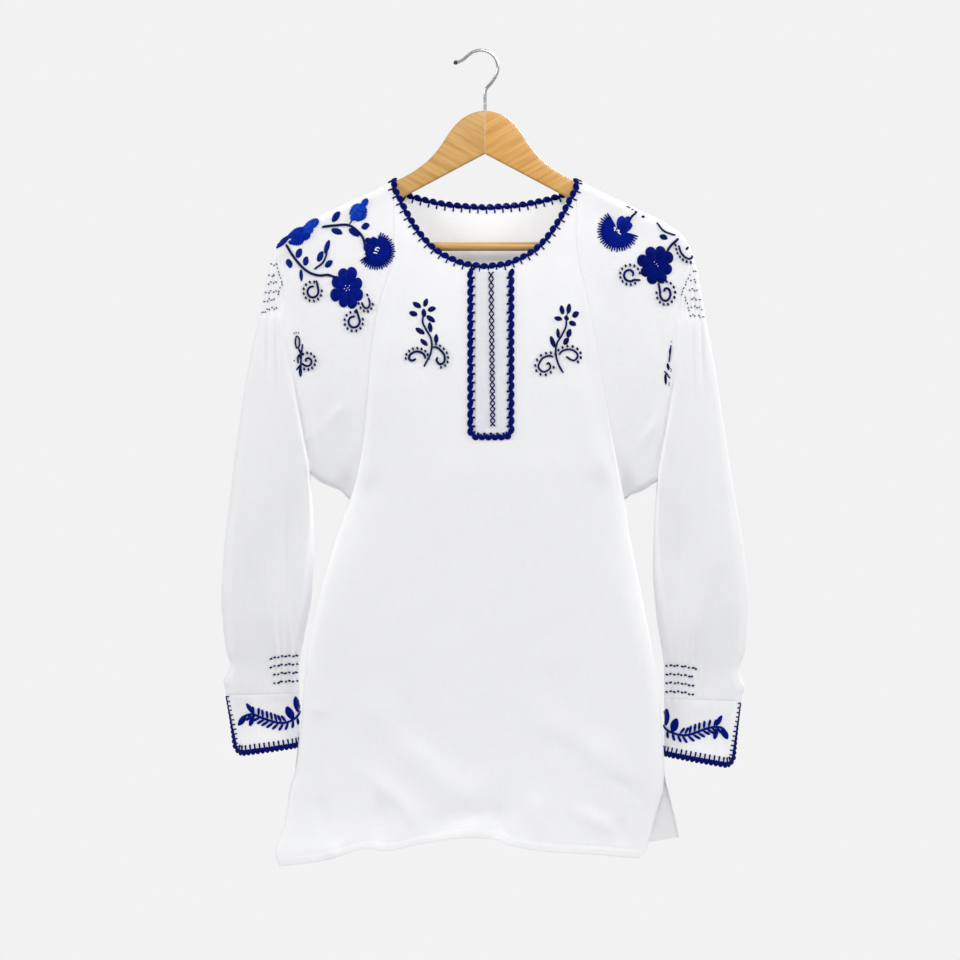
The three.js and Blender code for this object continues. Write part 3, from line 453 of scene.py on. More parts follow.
# The smocked patch over each shoulder's drop: its top and foot, and the point that its pleats fan out from.
SMOCKING = {LEFT: (-238, -300, -239, -90), RIGHT: (-244, -304, 243, -96)}
PLEAT_ANGLE, GATHER_ANGLE = 0.0285, 0.047  # between one pleat or gather and the next, radians


def smocked_pleats(x, z, hand):
    """Fine pleats held by the smocking, and the gathers that spring from its foot."""
    top, foot, centre_x, centre_z = SMOCKING[hand]
    angle = np.arctan2(x - centre_x, centre_z - z)
    held = smoothstep(z, foot - 8, foot + 2) * (1 - smoothstep(z, top - 2, top + 8))
    freed = (1 - smoothstep(z, foot - 4, foot + 6)) * smoothstep(z, foot - 95, foot - 20)
    span = 1 - smoothstep(np.abs(x - centre_x + hand * 2), 15, 24)
    pleats = np.sin(angle * 2 * np.pi / PLEAT_ANGLE)
    gathers = np.sin(angle * 2 * np.pi / GATHER_ANGLE + 0.8)
    fan = 1 - smoothstep(np.abs(angle), 0.14, 0.24)
    return 0.42 * held * span * pleats - 1.0 * held * span + 0.6 * freed * fan * gathers


def sleeve_surface(outline, hand, at, down, side):
    """Points of a sleeve at a section from the raglan seam on, and a share from its outer fold down."""
    at, down = np.broadcast_arrays(np.asarray(at, float), np.asarray(down, float))
    x, middle_y, z, depth, rounding = section(outline, SLEEVE_DEPTHS, at, down)
    # The sleeve is fuller on the underarm's side below the shoulder's drop.
    fold = 3.5 * smoothstep(at, 4.55, 5.65) * (1 - smoothstep(at, 6.2, 10)) * smoothstep(down, 0.2, 0.55)
    hold = np.clip(1 - at / SEAM_HOLD, 0, 1) ** 2
    creases = LEFT_SLEEVE_CREASES if hand == LEFT else RIGHT_SLEEVE_CREASES
    # The creases of the back are the front's, a little lower, further in and weaker.
    shift, amount = (0, 1) if side == FRONT else (7, 0.85)
    lift = fold + (1 - hold**3) * (1 - 0.9 * smoothstep(at, 14.5, 15)) * (
        creased(x + hand * shift, z + shift, creases, SLEEVE_SEED + 3 * hand + side, amount)
        + smocked_pleats(x, z, hand)
        + wrist_gathers(x, z, outline)
    )
    y = middle_y + side * (depth + lift) * rounding
    # It pouches over the cuff, and is drawn in by the smocking above that.
    pouch = 4.2 * np.exp(-(((at - 14.5) / 0.26) ** 2)) - 2.2 * np.exp(-(((at - 13.8) / 0.3) ** 2))
    x = x + hand * pouch * np.clip(1 - down / 0.35, 0, 1) ** 2
    # Its start is the raglan seam, which runs over the hanger at the top.
    start_x, _, start_z, _, _ = section(outline, SLEEVE_DEPTHS, 0 * at, down)
    seam_x = curve(SEAMS, "z", "left" if hand == LEFT else "right", start_z) + hand * 0.6 * down**12
    edge = curve(DEPTHS, "z", "front_edge" if side == FRONT else "back_edge", start_z)
    edge = edge - side * SEAM_DIP * smoothstep(start_z, UNDERARM_Z, UNDERARM_Z + SEAM_RISE)
    flat_y = mix(SLEEVE_DEPTHS["out_y"][0], SLEEVE_DEPTHS["under_y"][0], down)
    over_hanger = roll(outline["out_z"][0] - start_z, SLEEVE_DEPTHS["top"][0])
    y = mix(y, mix(flat_y, edge, over_hanger), hold)
    return np.stack([x + (seam_x - start_x) * hold, y, z], axis=-1)


def sleeve_downs(count):
    even = np.linspace(0, 1, count)
    eased = mix(even, (1 - np.cos(np.pi * even)) / 2, 0.4)
    return mix(eased, eased**2, 0.35)


def sleeve_points(outline, hand, columns):
    """Rings of points from the raglan seam to the cuff, closer at the smocking and the wrist's gathers."""
    at = np.concatenate([
        [0, 0.02, 0.05, 0.1], np.linspace(0.18, 4.6, 40), np.linspace(4.66, 8.2, 56),
        np.linspace(8.3, 12.4, 34), np.linspace(12.5, 15, 30),
    ])[:, None]  # fmt: skip
    down = sleeve_downs(columns)
    front = sleeve_surface(outline, hand, at, down[None, :], FRONT)
    back = sleeve_surface(outline, hand, at, down[None, 1:-1][:, ::-1], BACK)
    return np.concatenate([front, back], axis=1)


def cuff_surface(outline, at, down, side):
    """Points of a cuff. Its top is the sleeve's last section, and its slit opens on the outer fold."""
    at, down = np.broadcast_arrays(np.asarray(at, float), np.asarray(down, float))
    x, middle_y, z, depth, rounding = section(outline, CUFF_DEPTHS, at, down)
    rounding = np.maximum(rounding, 0.55 * smoothstep(at, 0.05, 0.7) * (1 - smoothstep(down, 0.2, 0.5)))
    y = middle_y + side * depth * rounding
    free = smoothstep(at, 0, 0.35)
    y = y + side * rounding * free * (0.9 * ripples(x, z, 60, 31) + 0.12 * ripples(x, z, 16, 32))
    # The seam under the sleeve is drawn in.
    y = y - side * 0.12 * np.exp(-((at / 0.05) ** 2)) * rounding
    return np.stack([x, y, z], axis=-1)


def cuff_points(outline, columns=46, rows=26):
    """Rows of a cuff from one edge of its slit round to the other, its lower corners rounded off."""
    share = np.linspace(0, 1, columns)
    down = mix(CUFF_SLIT / 2 / CUFF_WIDTH, 1, mix(share, (1 - np.cos(np.pi * share)) / 2, 0.6))
    into_corner = np.clip(1 - (down - down[0]) * CUFF_WIDTH / CUFF_CORNER, 0, 1)
    cut = 0.27 * (1 - np.sqrt(1 - into_corner**2))
    at = np.linspace(0, 1, rows)[:, None] * (2 - cut[None, :])
    front = cuff_surface(outline, at, down[None, :], FRONT)
    back = cuff_surface(outline, at[:, :-1][:, ::-1], down[None, :-1][:, ::-1], BACK)
    return np.concatenate([front, back], axis=1)


# ------------------------------------------------------------------ making pieces


def link(name, mesh):
    piece = bpy.data.objects.new(name, mesh)
    bpy.context.scene.collection.objects.link(piece)
    return piece


def from_bmesh(name, bm, sharp=None):
    """A smooth piece of a finished bmesh. Its edges past an angle of sharp degrees stay sharp."""
    mesh = bpy.data.meshes.new(name)
    bm.to_mesh(mesh)
    bm.free()
    mesh.shade_smooth()
    if sharp:
        mesh.set_sharp_from_angle(angle=math.radians(sharp))
    return link(name, mesh)


def cloth_sheet(name, points, tube=False, side=None):
    """A sheet of cloth through a grid of points, with a UV map of its lengths so that the weave follows it."""
    if tube:
        points = np.concatenate([points, points[:, :1]], axis=1)
    rows, columns = points.shape[:2]
    across, along = lengths_along(points, 1), lengths_along(points, 0)
    across -= across[:, columns // 2][:, None]
    bm = bmesh.new()
    bmesh.ops.create_grid(bm, x_segments=columns - 1, y_segments=rows - 1, size=1)
    uv = bm.loops.layers.uv.new("cloth")
    place = {}
    for vert in bm.verts:
        j = round((vert.co.x + 1) / 2 * (columns - 1))
        i = round((vert.co.y + 1) / 2 * (rows - 1))
        place[vert.index] = i, j
    for face in bm.faces:
        for loop in face.loops:
            i, j = place[loop.vert.index]
            loop[uv].uv = across[i, j] * MM, along[i, j] * MM
    for vert in bm.verts:
        vert.co = points[place[vert.index]] * MM
    if tube:
        bmesh.ops.remove_doubles(bm, verts=bm.verts, dist=1e-6)
    middle = Vector(points.reshape(-1, 3).mean(axis=0) * MM)
    outward = 0.0
    for face in bm.faces:
        face.normal_update()
        away = face.calc_center_median() - middle if side is None else Vector((0, side, 0))
        away.z = 0
        outward += face.calc_area() * face.normal.dot(away)
    if outward < 0:
        bmesh.ops.reverse_faces(bm, faces=bm.faces)
    return from_bmesh(name, bm)


def thicken(piece, thickness=CLOTH):
    wall = piece.modifiers.new("cloth thickness", "SOLIDIFY")
    wall.thickness = thickness * MM
    wall.offset = 0
    wall.use_even_offset = False
    # The thin rims don't bend the shading of the faces beside them.
    piece.modifiers.new("even shading", "WEIGHTED_NORMAL")


def thread_piece(name, strands, bevel_steps=1):
    """One piece of many threads. Each strand is its points, in millimetres, and its radius."""
    line = bpy.data.curves.new(name, "CURVE")
    line.dimensions = "3D"
    line.bevel_depth = MM
    line.bevel_resolution = bevel_steps
    line.use_fill_caps = True
    for points, radius in strands:
        points = np.asarray(points, float)
        spline = line.splines.new("POLY")
        spline.points.add(len(points) - 1)
        flat = np.concatenate([points * MM, np.ones((len(points), 1))], axis=1)
        spline.points.foreach_set("co", flat.ravel())
        radii = np.full(len(points), radius) if np.isscalar(radius) else np.asarray(radius, float)
        spline.points.foreach_set("radius", radii)
    drawn = bpy.data.objects.new(name + "_line", line)
    bpy.context.scene.collection.objects.link(drawn)
    bpy.context.view_layer.update()
    mesh = bpy.data.meshes.new_from_object(drawn.evaluated_get(bpy.context.evaluated_depsgraph_get()))
    bpy.data.objects.remove(drawn)
    bpy.data.curves.remove(line)
    mesh.name = name
    mesh.shade_smooth()
    return link(name, mesh)


# ------------------------------------------------------------------ materials


def colour(code):
    """An sRGB hex value as linear red, green, blue and alpha."""
    parts = [int(code[i : i + 2], 16) / 255 for i in (1, 3, 5)]
    return (*(p / 12.92 if p <= 0.04045 else ((p + 0.055) / 1.055) ** 2.4 for p in parts), 1)


def new_material(name):
    material = bpy.data.materials.new(name)
    material.use_nodes = True
    tree = material.node_tree
    return material, tree, tree.nodes["Principled BSDF"]


def node(tree, kind, links=None, stops=(), **settings):
    """Adds a shader node with its links. A setting is one of its attributes or the value of an input, and stops
    are a colour ramp's places and hex colours."""
    made = tree.nodes.new("ShaderNode" + kind)
    for name, value in settings.items():
        if hasattr(made, name):
            setattr(made, name, value)
        else:
            made.inputs[name.replace("_", " ")].default_value = value
    for name, source in (links or {}).items():
        tree.links.new(source, made.inputs[name])
    for _ in stops[2:]:
        made.color_ramp.elements.new(0.5)
    for i, (place, code) in enumerate(stops):
        made.color_ramp.elements[i].position = place
        made.color_ramp.elements[i].color = colour(code)
    return made


def finish(tree, shader, colours, relief=None, **values):
    """Gives the shader its pattern of colours and its relief, and the values that are the same all over."""
    tree.links.new(colours.outputs["Color"], shader.inputs["Base Color"])
    if relief:
        tree.links.new(relief.outputs["Normal"], shader.inputs["Normal"])
    for name, value in values.items():
        shader.inputs[name.replace("_", " ")].default_value = value


def cotton(name, shade, light):
    """Thin bleached cotton in plain weave: matt, with a faint lint sheen, slubs, and light coming through.

    Threads of shirt cotton lie 0.4 mm apart. The weave is drawn at 0.9 mm so that it can show.
    """
    material, tree, shader = new_material(name)
    place = node(tree, "UVMap", uv_map="cloth").outputs["UV"]
    warp, weft = (
        node(tree, "TexWave", {"Vector": place}, bands_direction=way, Scale=350.0, Distortion=0.6, Detail=1.0,
             Detail_Scale=0.4)
        for way in "XY"
    )  # fmt: skip
    weave = node(tree, "Math", {0: warp.outputs["Fac"], 1: weft.outputs["Fac"]}, operation="MAXIMUM")
    # Slubs are about 1 mm thick and 16 mm long, and run both ways.
    slub_up, slub_over = (
        node(tree, "TexNoise", {"Vector": node(tree, "Mapping", {"Vector": place}, Scale=scale).outputs[0]},
             Scale=1.0, Detail=2.0)
        for scale in ((900, 60, 1), (60, 900, 1))
    )  # fmt: skip
    slubs = node(tree, "Math", {0: slub_up.outputs["Fac"], 1: slub_over.outputs["Fac"]}, operation="ADD")
    tone = node(tree, "ValToRGB", {"Fac": slubs.outputs[0]}, stops=((0.6, shade), (1.0, light)))
    crumple = node(tree, "TexNoise", {"Vector": place}, Scale=42.0, Detail=3.0, Roughness=0.6)
    soft = node(tree, "Bump", {"Height": crumple.outputs["Fac"]}, Strength=0.2, Distance=0.0012)
    thread = node(tree, "Bump", {"Height": slubs.outputs[0], "Normal": soft.outputs[0]},
                  Strength=0.12, Distance=0.00008)  # fmt: skip
    woven = node(tree, "Bump", {"Height": weave.outputs[0], "Normal": thread.outputs[0]},
                 Strength=0.35, Distance=0.00008)  # fmt: skip
    finish(tree, shader, tone, woven, Roughness=0.88, Specular_IOR_Level=0.2, Sheen_Weight=0.12,
           Sheen_Roughness=0.5, Subsurface_Weight=0.55, Subsurface_Radius=(1, 1, 1),
           Subsurface_Scale=0.002)  # fmt: skip
    return material


def stitching(name, dark, light, gloss):
    """Mercerised cotton thread: deep dye, a soft coloured gloss along each strand, and slight changes of shade.

    Each strand of stranded cotton is 0.5 to 1 mm thick, and its twist shows as fine bumps along it.
    """
    material, tree, shader = new_material(name)
    place = node(tree, "TexCoord").outputs["Object"]
    patch = node(tree, "TexNoise", {"Vector": place}, Scale=330.0, Detail=3.0)
    tone = node(tree, "ValToRGB", {"Fac": patch.outputs["Fac"]}, stops=((0.32, dark), (0.72, light)))
    twist = node(tree, "TexNoise", {"Vector": place}, Scale=1500.0, Detail=2.0)
    bump = node(tree, "Bump", {"Height": twist.outputs["Fac"]}, Strength=0.5, Distance=0.0003)
    finish(tree, shader, tone, bump, Roughness=0.46, Specular_IOR_Level=0.5, Specular_Tint=colour(gloss))
    return material


def beech(name, light, middle, dark, turn):
    """Steamed beech under clear satin varnish: straight grain along the arm, short dark flecks, a warm tone.

    Growth rings of plain-sawn beech lie 2 to 4 mm apart, and its ray flecks are 1 to 3 mm long.
    """
    material, tree, shader = new_material(name)
    place = node(tree, "TexCoord").outputs["Object"]
    along = node(tree, "Mapping", {"Vector": place}, Rotation=(0, turn, 0)).outputs[0]
    rings = node(tree, "Mapping", {"Vector": along}, Scale=(9, 150, 260))
    grain = node(tree, "TexNoise", {"Vector": rings.outputs[0]}, Scale=1.0, Detail=5.0, Roughness=0.62)
    rays = node(tree, "Mapping", {"Vector": along}, Scale=(420, 900, 2200))
    fleck = node(tree, "TexNoise", {"Vector": rays.outputs[0]}, Scale=1.0, Detail=2.0)
    faint = node(tree, "Math", {0: fleck.outputs["Fac"]}, operation="MULTIPLY")
    faint.inputs[1].default_value = 0.22
    figure = node(tree, "Math", {0: grain.outputs["Fac"], 1: faint.outputs[0]}, operation="ADD").outputs[0]
    tone = node(tree, "ValToRGB", {"Fac": figure}, stops=((0.42, dark), (0.6, middle), (0.78, light)))
    bump = node(tree, "Bump", {"Height": figure}, Strength=0.18, Distance=0.0003)
    finish(tree, shader, tone, bump, Roughness=0.42, Coat_Weight=0.35, Coat_Roughness=0.22)
    return material


def plated_wire():
    """Bright zinc-plated steel wire, drawn: smooth, with dull spots."""
    material, tree, shader = new_material("bright plated steel wire")
    place = node(tree, "TexCoord").outputs["Object"]
    spots = node(tree, "TexNoise", {"Vector": place}, Scale=260.0, Detail=3.0).outputs["Fac"]
    tone = node(tree, "ValToRGB", {"Fac": spots}, stops=((0.35, "#B9BCC0"), (0.65, "#D6D8DB")))
    rough = node(tree, "MapRange", {"Value": spots}, To_Min=0.16, To_Max=0.3)
    tree.links.new(rough.outputs[0], shader.inputs["Roughness"])
    bump = node(tree, "Bump", {"Height": spots}, Strength=0.15, Distance=0.0001)
    finish(tree, shader, tone, bump, Metallic=1.0)
    return material


def moulded_tip():
    """Dark moulded polyethylene: soft gloss, a faint mottle."""
    material, tree, shader = new_material("dark moulded polyethylene")
    place = node(tree, "TexCoord").outputs["Object"]
    mottle = node(tree, "TexNoise", {"Vector": place}, Scale=900.0, Detail=2.0).outputs["Fac"]
    tone = node(tree, "ValToRGB", {"Fac": mottle}, stops=((0.3, "#26262A"), (0.7, "#37373B")))
    bump = node(tree, "Bump", {"Height": mottle}, Strength=0.2, Distance=0.0001)
    finish(tree, shader, tone, bump, Roughness=0.45)
    return material


BODY_COTTON = cotton("bleached cotton, body", "#F3F3F5", "#F8F8FA")
SLEEVE_COTTON = cotton("bleached cotton, sleeves", "#F2F2F5", "#F8F8FA")
# The back panel is the same bleached cotton, painted lighter: a painted brightening against the shade on its
# inside, which shows through the neckline and the vent.
BACK_COTTON_PAINTED_LIGHTER = cotton("bleached cotton, back, painted lighter", "#F6F6F7", "#FCFCFD")
PLACKET_COTTON = cotton("bleached cotton, placket strip", "#DCE1E7", "#E3E8EE")
ROYAL = stitching("royal blue stranded cotton", "#020A52", "#05178A", "#2A55FF")
DEEP = stitching("deep blue stranded cotton", "#010744", "#051170", "#264AE0")
NAVY = stitching("navy stranded cotton", "#030C36", "#0B1C5E", "#3A55C0")
LEAF = stitching("leaf blue stranded cotton", "#061456", "#0E2488", "#3058E8")
BRIGHT = stitching("bright blue stranded cotton", "#021E8A", "#174AC2", "#4C80FF")
MID = stitching("mid blue stranded cotton", "#02127C", "#0A2CAC", "#3A68FF")
WHITE_THREAD = stitching("white stranded cotton", "#E4E6EC", "#F6F7FA", "#FFFFFF")

# ------------------------------------------------------------------ the cloth

front = cloth_sheet("blouse_front", panel_points(FRONT, 150, 88, 124), side=FRONT)
back = cloth_sheet("blouse_back", panel_points(BACK, 112, 70, 86), side=BACK)
left_sleeve = cloth_sheet("sleeve_left_cloth", sleeve_points(LEFT_SLEEVE, LEFT, 100), tube=True)
right_sleeve = cloth_sheet("sleeve_right_cloth", sleeve_points(RIGHT_SLEEVE, RIGHT, 100), tube=True)
left_cuff = cloth_sheet("cuff_left_cloth", cuff_points(LEFT_CUFF))
right_cuff = cloth_sheet("cuff_right_cloth", cuff_points(RIGHT_CUFF))

PLACKET = {"left": -6.5, "right": 30, "top": -250, "bottom": -435.5}


def front_at(x, z):
    """A point of the front panel at x and z."""
    left, right = curve(FRONT_EDGES, "z", "left", z), curve(FRONT_EDGES, "z", "right", z)
    return panel_surface(FRONT, 2 * (x - left) / (right - left) - 1, z)


def placket_points(columns=18, rows=90, cut=4):
    """The placket strip, its two lower corners cut off, lying on the front."""
    z = np.linspace(PLACKET["top"], PLACKET["bottom"], rows)[:, None]
    narrow = np.clip(PLACKET["bottom"] + cut - z, 0, cut)
    share = np.linspace(0, 1, columns)[None, :]
    x = mix(PLACKET["left"] + narrow, PLACKET["right"] - narrow, share)
    points = front_at(x, z + 0 * x)
    # A centre crease where the strip was pressed, and slack between its stitched edges.
    swell = 0.5 * np.sin(np.pi * share) + 0.18 * ripples(x, z + 0 * x, 22, 60)
    points[..., 1] -= 0.75 + swell * smoothstep(z, PLACKET["bottom"], PLACKET["bottom"] + 12)
    return points


placket = cloth_sheet("placket_cloth", placket_points(), side=FRONT)
CLOTH_PIECES = [front, back, left_sleeve, right_sleeve, left_cuff, right_cuff, placket]


def cloth_tree(pieces):
    """All the cloth's mid-surfaces as one tree to lay threads on."""
    verts, faces = [], []
    for piece in pieces:
        start = len(verts)
        verts += [v.co / MM for v in piece.data.vertices]
        faces += [[start + i for i in p.vertices] for p in piece.data.polygons]
    return BVHTree.FromPolygons(verts, faces)


CLOTH_TREE = cloth_tree(CLOTH_PIECES)


# The camera's eye. Motifs are drawn as they look from it, on the plane y = 0.
EYE = {"x": -1.4, "away": 4200, "z": -488.1}
FAR = 300  # well off the cloth, to look at it from


def lay(x, z, height, side=FRONT):
    """A point on the cloth's face, held off it by height. One past the outline goes round to the back."""
    towards = Vector((0, -side, 0))
    hit, normal, _, _ = CLOTH_TREE.ray_cast(Vector((x, side * FAR, z)), towards)
    if hit is not None and side == FRONT:
        nearer = (EYE["away"] + hit.y) / EYE["away"]
        seen = Vector((mix(EYE["x"], x, nearer), side * FAR, mix(EYE["z"], z, nearer)))
        hit, normal, _, _ = CLOTH_TREE.ray_cast(seen, towards)
    if hit is None:
        edge, _, _, _ = CLOTH_TREE.find_nearest(Vector((x, 0 if z > -500 else 14, z)))
        x, z, side = 2 * edge.x - x, 2 * edge.z - z, -side
        hit, normal, _, _ = CLOTH_TREE.ray_cast(Vector((x, side * FAR, z)), -towards)
        if hit is None:
            return edge + Vector((0, side * height, 0))
    if normal.y * side < 0:
        normal = -normal
    return hit + normal * (height + CLOTH / 2)


def laid(points, heights, side=FRONT):
    return [lay(x, z, h, side) for (x, z), h in zip(points, heights)]


# ------------------------------------------------------------------ stitches


def stem(strands, points, width, long=6, step=3):
    """Stem stitch: overlapping slanted stitches, long and step path points each, that make a fine rope."""
    path = smooth_path(points, 0.7)
    run = unit(np.gradient(path, axis=0))
    across = np.stack([-run[:, 1], run[:, 0]], axis=1)
    for start in range(0, max(1, len(path) - 3), step):
        picked = np.arange(start, min(start + long, len(path) - 1) + 1)
        slant = np.linspace(-0.14, 0.14, len(picked))[:, None] * width
        heights = 0.15 + 0.35 * width * np.sin(np.linspace(0.2, np.pi - 0.2, len(picked)))
        strands.append((laid(path[picked] + across[picked] * slant, heights), 0.46 * width))


def blade(x0, z0, x1, z1):
    """A leaf's base, its length, its direction and the one across it."""
    base, tip = np.array([x0, z0], float), np.array([x1, z1], float)
    length = np.linalg.norm(tip - base)
    run = (tip - base) / length
    return base, length, run, np.array([-run[1], run[0]])


def leaf(strands, x0, z0, x1, z1, width, thread=0.5):
    """A satin-stitch leaf or petal from base to tip: slanting threads side by side, raised in the middle."""
    base, length, run, across = blade(x0, z0, x1, z1)
    count = max(5, round(length / (1.4 * thread)))
    for t in np.linspace(0.05, 0.96, count):
        half = width / 2 * math.sin(math.pi * t**0.95) ** 0.66
        slant = 0.5 * half
        left = base + run * (t * length + slant * 0.5) + across * half
        right = base + run * (t * length - slant * 0.5) - across * half
        points = [mix(left, right, s) for s in (0, 0.2, 0.5, 0.8, 1)]
        rise = 0.3 + 0.22 * half
        strands.append((laid(points, (0, rise * 0.8, rise, rise * 0.8, 0)), thread))


def leaves(strands, rows, thread=0.5):
    """Leaves from their bases to their tips: x0, z0, x1, z1 and width."""
    for row in rows:
        leaf(strands, *row, thread=thread)


def knot(strands, x, z, size=4.1):
    """A French knot: a small round bead of thread."""
    points = [(x + size * s, z + 0.4 * size * s) for s in (-0.24, -0.09, 0.09, 0.24)]
    strands.append((laid(points, np.full(4, size * 0.2)), [size * r for r in (0.3, 0.47, 0.47, 0.3)]))


KNOTS_OUT = 3.9  # how far a tendril's knots lie outside it


def tendril(strands, outer, curl, width, centre, dots):
    """A curled tendril point by point: its outer run, with knots outside it, and the curl it ends in."""
    stem(strands, [*outer, *curl], width)
    path = resampled(smooth_path(outer), 1, dots)
    for x, z in path + KNOTS_OUT * unit(path - np.array(centre, float)):
        knot(strands, x, z)


def spiral(strands, x, z, radius, start, sweep, tail, width=2.8, tall=1.0, dots=11, curl=0.62, steps=18):
    """A curled tendril from its tail round and in by the share curl, with knots along its outside."""
    turns = np.radians(np.linspace(start, start + sweep, steps))
    shrink = radius * (1 - curl * np.linspace(0, 1, steps) ** 2)
    ring = np.stack([x + shrink * np.cos(turns), z + tall * shrink * np.sin(turns)], axis=1)
    stem(strands, ring if tail is None else np.concatenate([[tail], ring]), width)
    last = turns[0] + math.copysign(min(abs(math.radians(sweep)), math.radians(300)), sweep)
    wide, high = radius + KNOTS_OUT, tall * radius + KNOTS_OUT
    for a in np.linspace(turns[0] + math.copysign(0.15, sweep), last, dots):
        knot(strands, x + wide * math.cos(a), z + high * math.sin(a))


def round_flower(strands, centres, x, z, wide, high, petals, turn, specks, per_petal=19):
    """A flower of lobed satin petals with threads running out from its middle, and pale specks there."""
    for petal in range(petals):
        middle = math.radians(turn + 4 * math.sin(5.1 * petal)) + 2 * math.pi * petal / petals
        size = 1 + 0.07 * math.sin(2.4 * petal + 1)
        for share in np.linspace(-1, 1, per_petal):
            angle = middle + share * math.pi / petals * 0.96
            lobe = (0.66 + 0.34 * math.sqrt(1 - 0.9 * share**2)) * size
            rise = 0.9 + 0.8 * (1 - share**2)
            points = [
                (x + wide * r * lobe * math.cos(angle), z + high * r * lobe * math.sin(angle))
                for r in (0.04, 0.4, 0.72, 0.92, 1)
            ]
            strands.append((laid(points, (0.9, rise, rise, 0.7 * rise, 0.1)), (0.5, 0.6, 0.78, 0.78, 0.6)))
    for dx, dz in ((0.8, 0.4), (-1.8, 2.8), (2.2, -2.0), (-0.8, -2.8), (2.6, 2.6), (-3.2, -0.6))[:specks]:
        ends = [(x + dx - 0.3, z + dz - 0.4), (x + dx + 0.3, z + dz + 0.4)]
        centres.append((laid(ends, (1.9, 1.9)), 0.42))


def fringed_flower(strands, centres, x, z, radius, first, last, calyx, squiggle):
    """A carnation from the side: a fan of satin threads with a spiky fringe, a lobed calyx, a pale squiggle."""

    def ray(reach, angle, shares):
        return [(x + reach * r * math.cos(angle), z + reach * r * math.sin(angle)) for r in shares]

    for angle in np.radians(np.arange(first, last, 2.7)):
        points = ray(radius * (0.84 + 0.02 * math.sin(angle * 23)), angle, (0.05, 0.45, 0.8, 1))
        strands.append((laid(points, (1.0, 1.4, 1.1, 0.2)), (0.5, 0.62, 0.8, 0.66)))
    for n, angle in enumerate(np.radians(np.arange(first + 2, last - 1, 7.7))):
        points = ray(radius, angle, (0.72, 0.88, 1.03 + 0.04 * math.sin(2.7 * n)))
        strands.append((laid(points, (0.7, 0.9, 0.1)), (1.1, 1.02, 0.78)))
    leaves(strands, calyx, 0.6)
    for ax, az, bx, bz in squiggle:
        bend = [(x + ax, z + az), (x + (ax + bx) / 2, z + (az + bz) / 2 + 0.4), (x + bx, z + bz)]
        centres.append((laid(bend, (1.7, 2.0, 1.7)), 0.68))


def leafy_flower(strands, petals):
    """A leafy head of overlapping satin petals, each over the one before, with small teeth on its edges."""
    for n, (x0, z0, x1, z1, width) in enumerate(petals):
        base, length, run, across = blade(x0, z0, x1, z1)
        heights = (0.9 + 0.25 * n, 1.4 + 0.25 * n, 0.9 + 0.2 * n, 0.1)
        for i, t in enumerate(np.linspace(0.04, 0.97, round(length / 0.8))):
            for hand in (-1, 1):
                tooth = 1 + 0.13 * math.sin(i * 1.9 + hand)
                half = width / 2 * math.sin(math.pi * t**1.1) ** 0.6 * tooth
                start = base + run * t * length
                end = start + across * hand * half + run * 0.35 * half
                points = [mix(start, end, s) for s in (0, 0.35, 0.75, 1)]
                strands.append((laid(points, heights), 0.58))


def running_row(strands, points, stitch, gap, width, zigzag=0.0, side=FRONT, spacing=0.5):
    """A row of short separate stitches, a little uneven as by hand, in a zigzag where it holds gathers."""
    path = smooth_path(points, spacing)
    count = max(1, int(spacing * (len(path) - 1) / (stitch + gap) + 0.6))
    for n in range(count):
        first = n * (stitch + gap) + 0.4 * math.sin(2.3 * n + points[0][1])
        long = stitch * (1 + 0.25 * math.sin(4.1 * n + points[0][1]))
        i, j = max(0, round(first / spacing)), min(round((first + long) / spacing), len(path) - 1)
        run = unit((path[j] - path[max(i - 1, 0)])[None])[0]
        off = np.array([-run[1], run[0]]) * zigzag * (1 if n % 2 else -1)
        drawn = [mix(path[i] + off * 0.2, path[j] + off, s) for s in (0, 0.5, 1)]
        strands.append((laid(drawn, (0.2, 0.6, 0.2), side), width / 2))


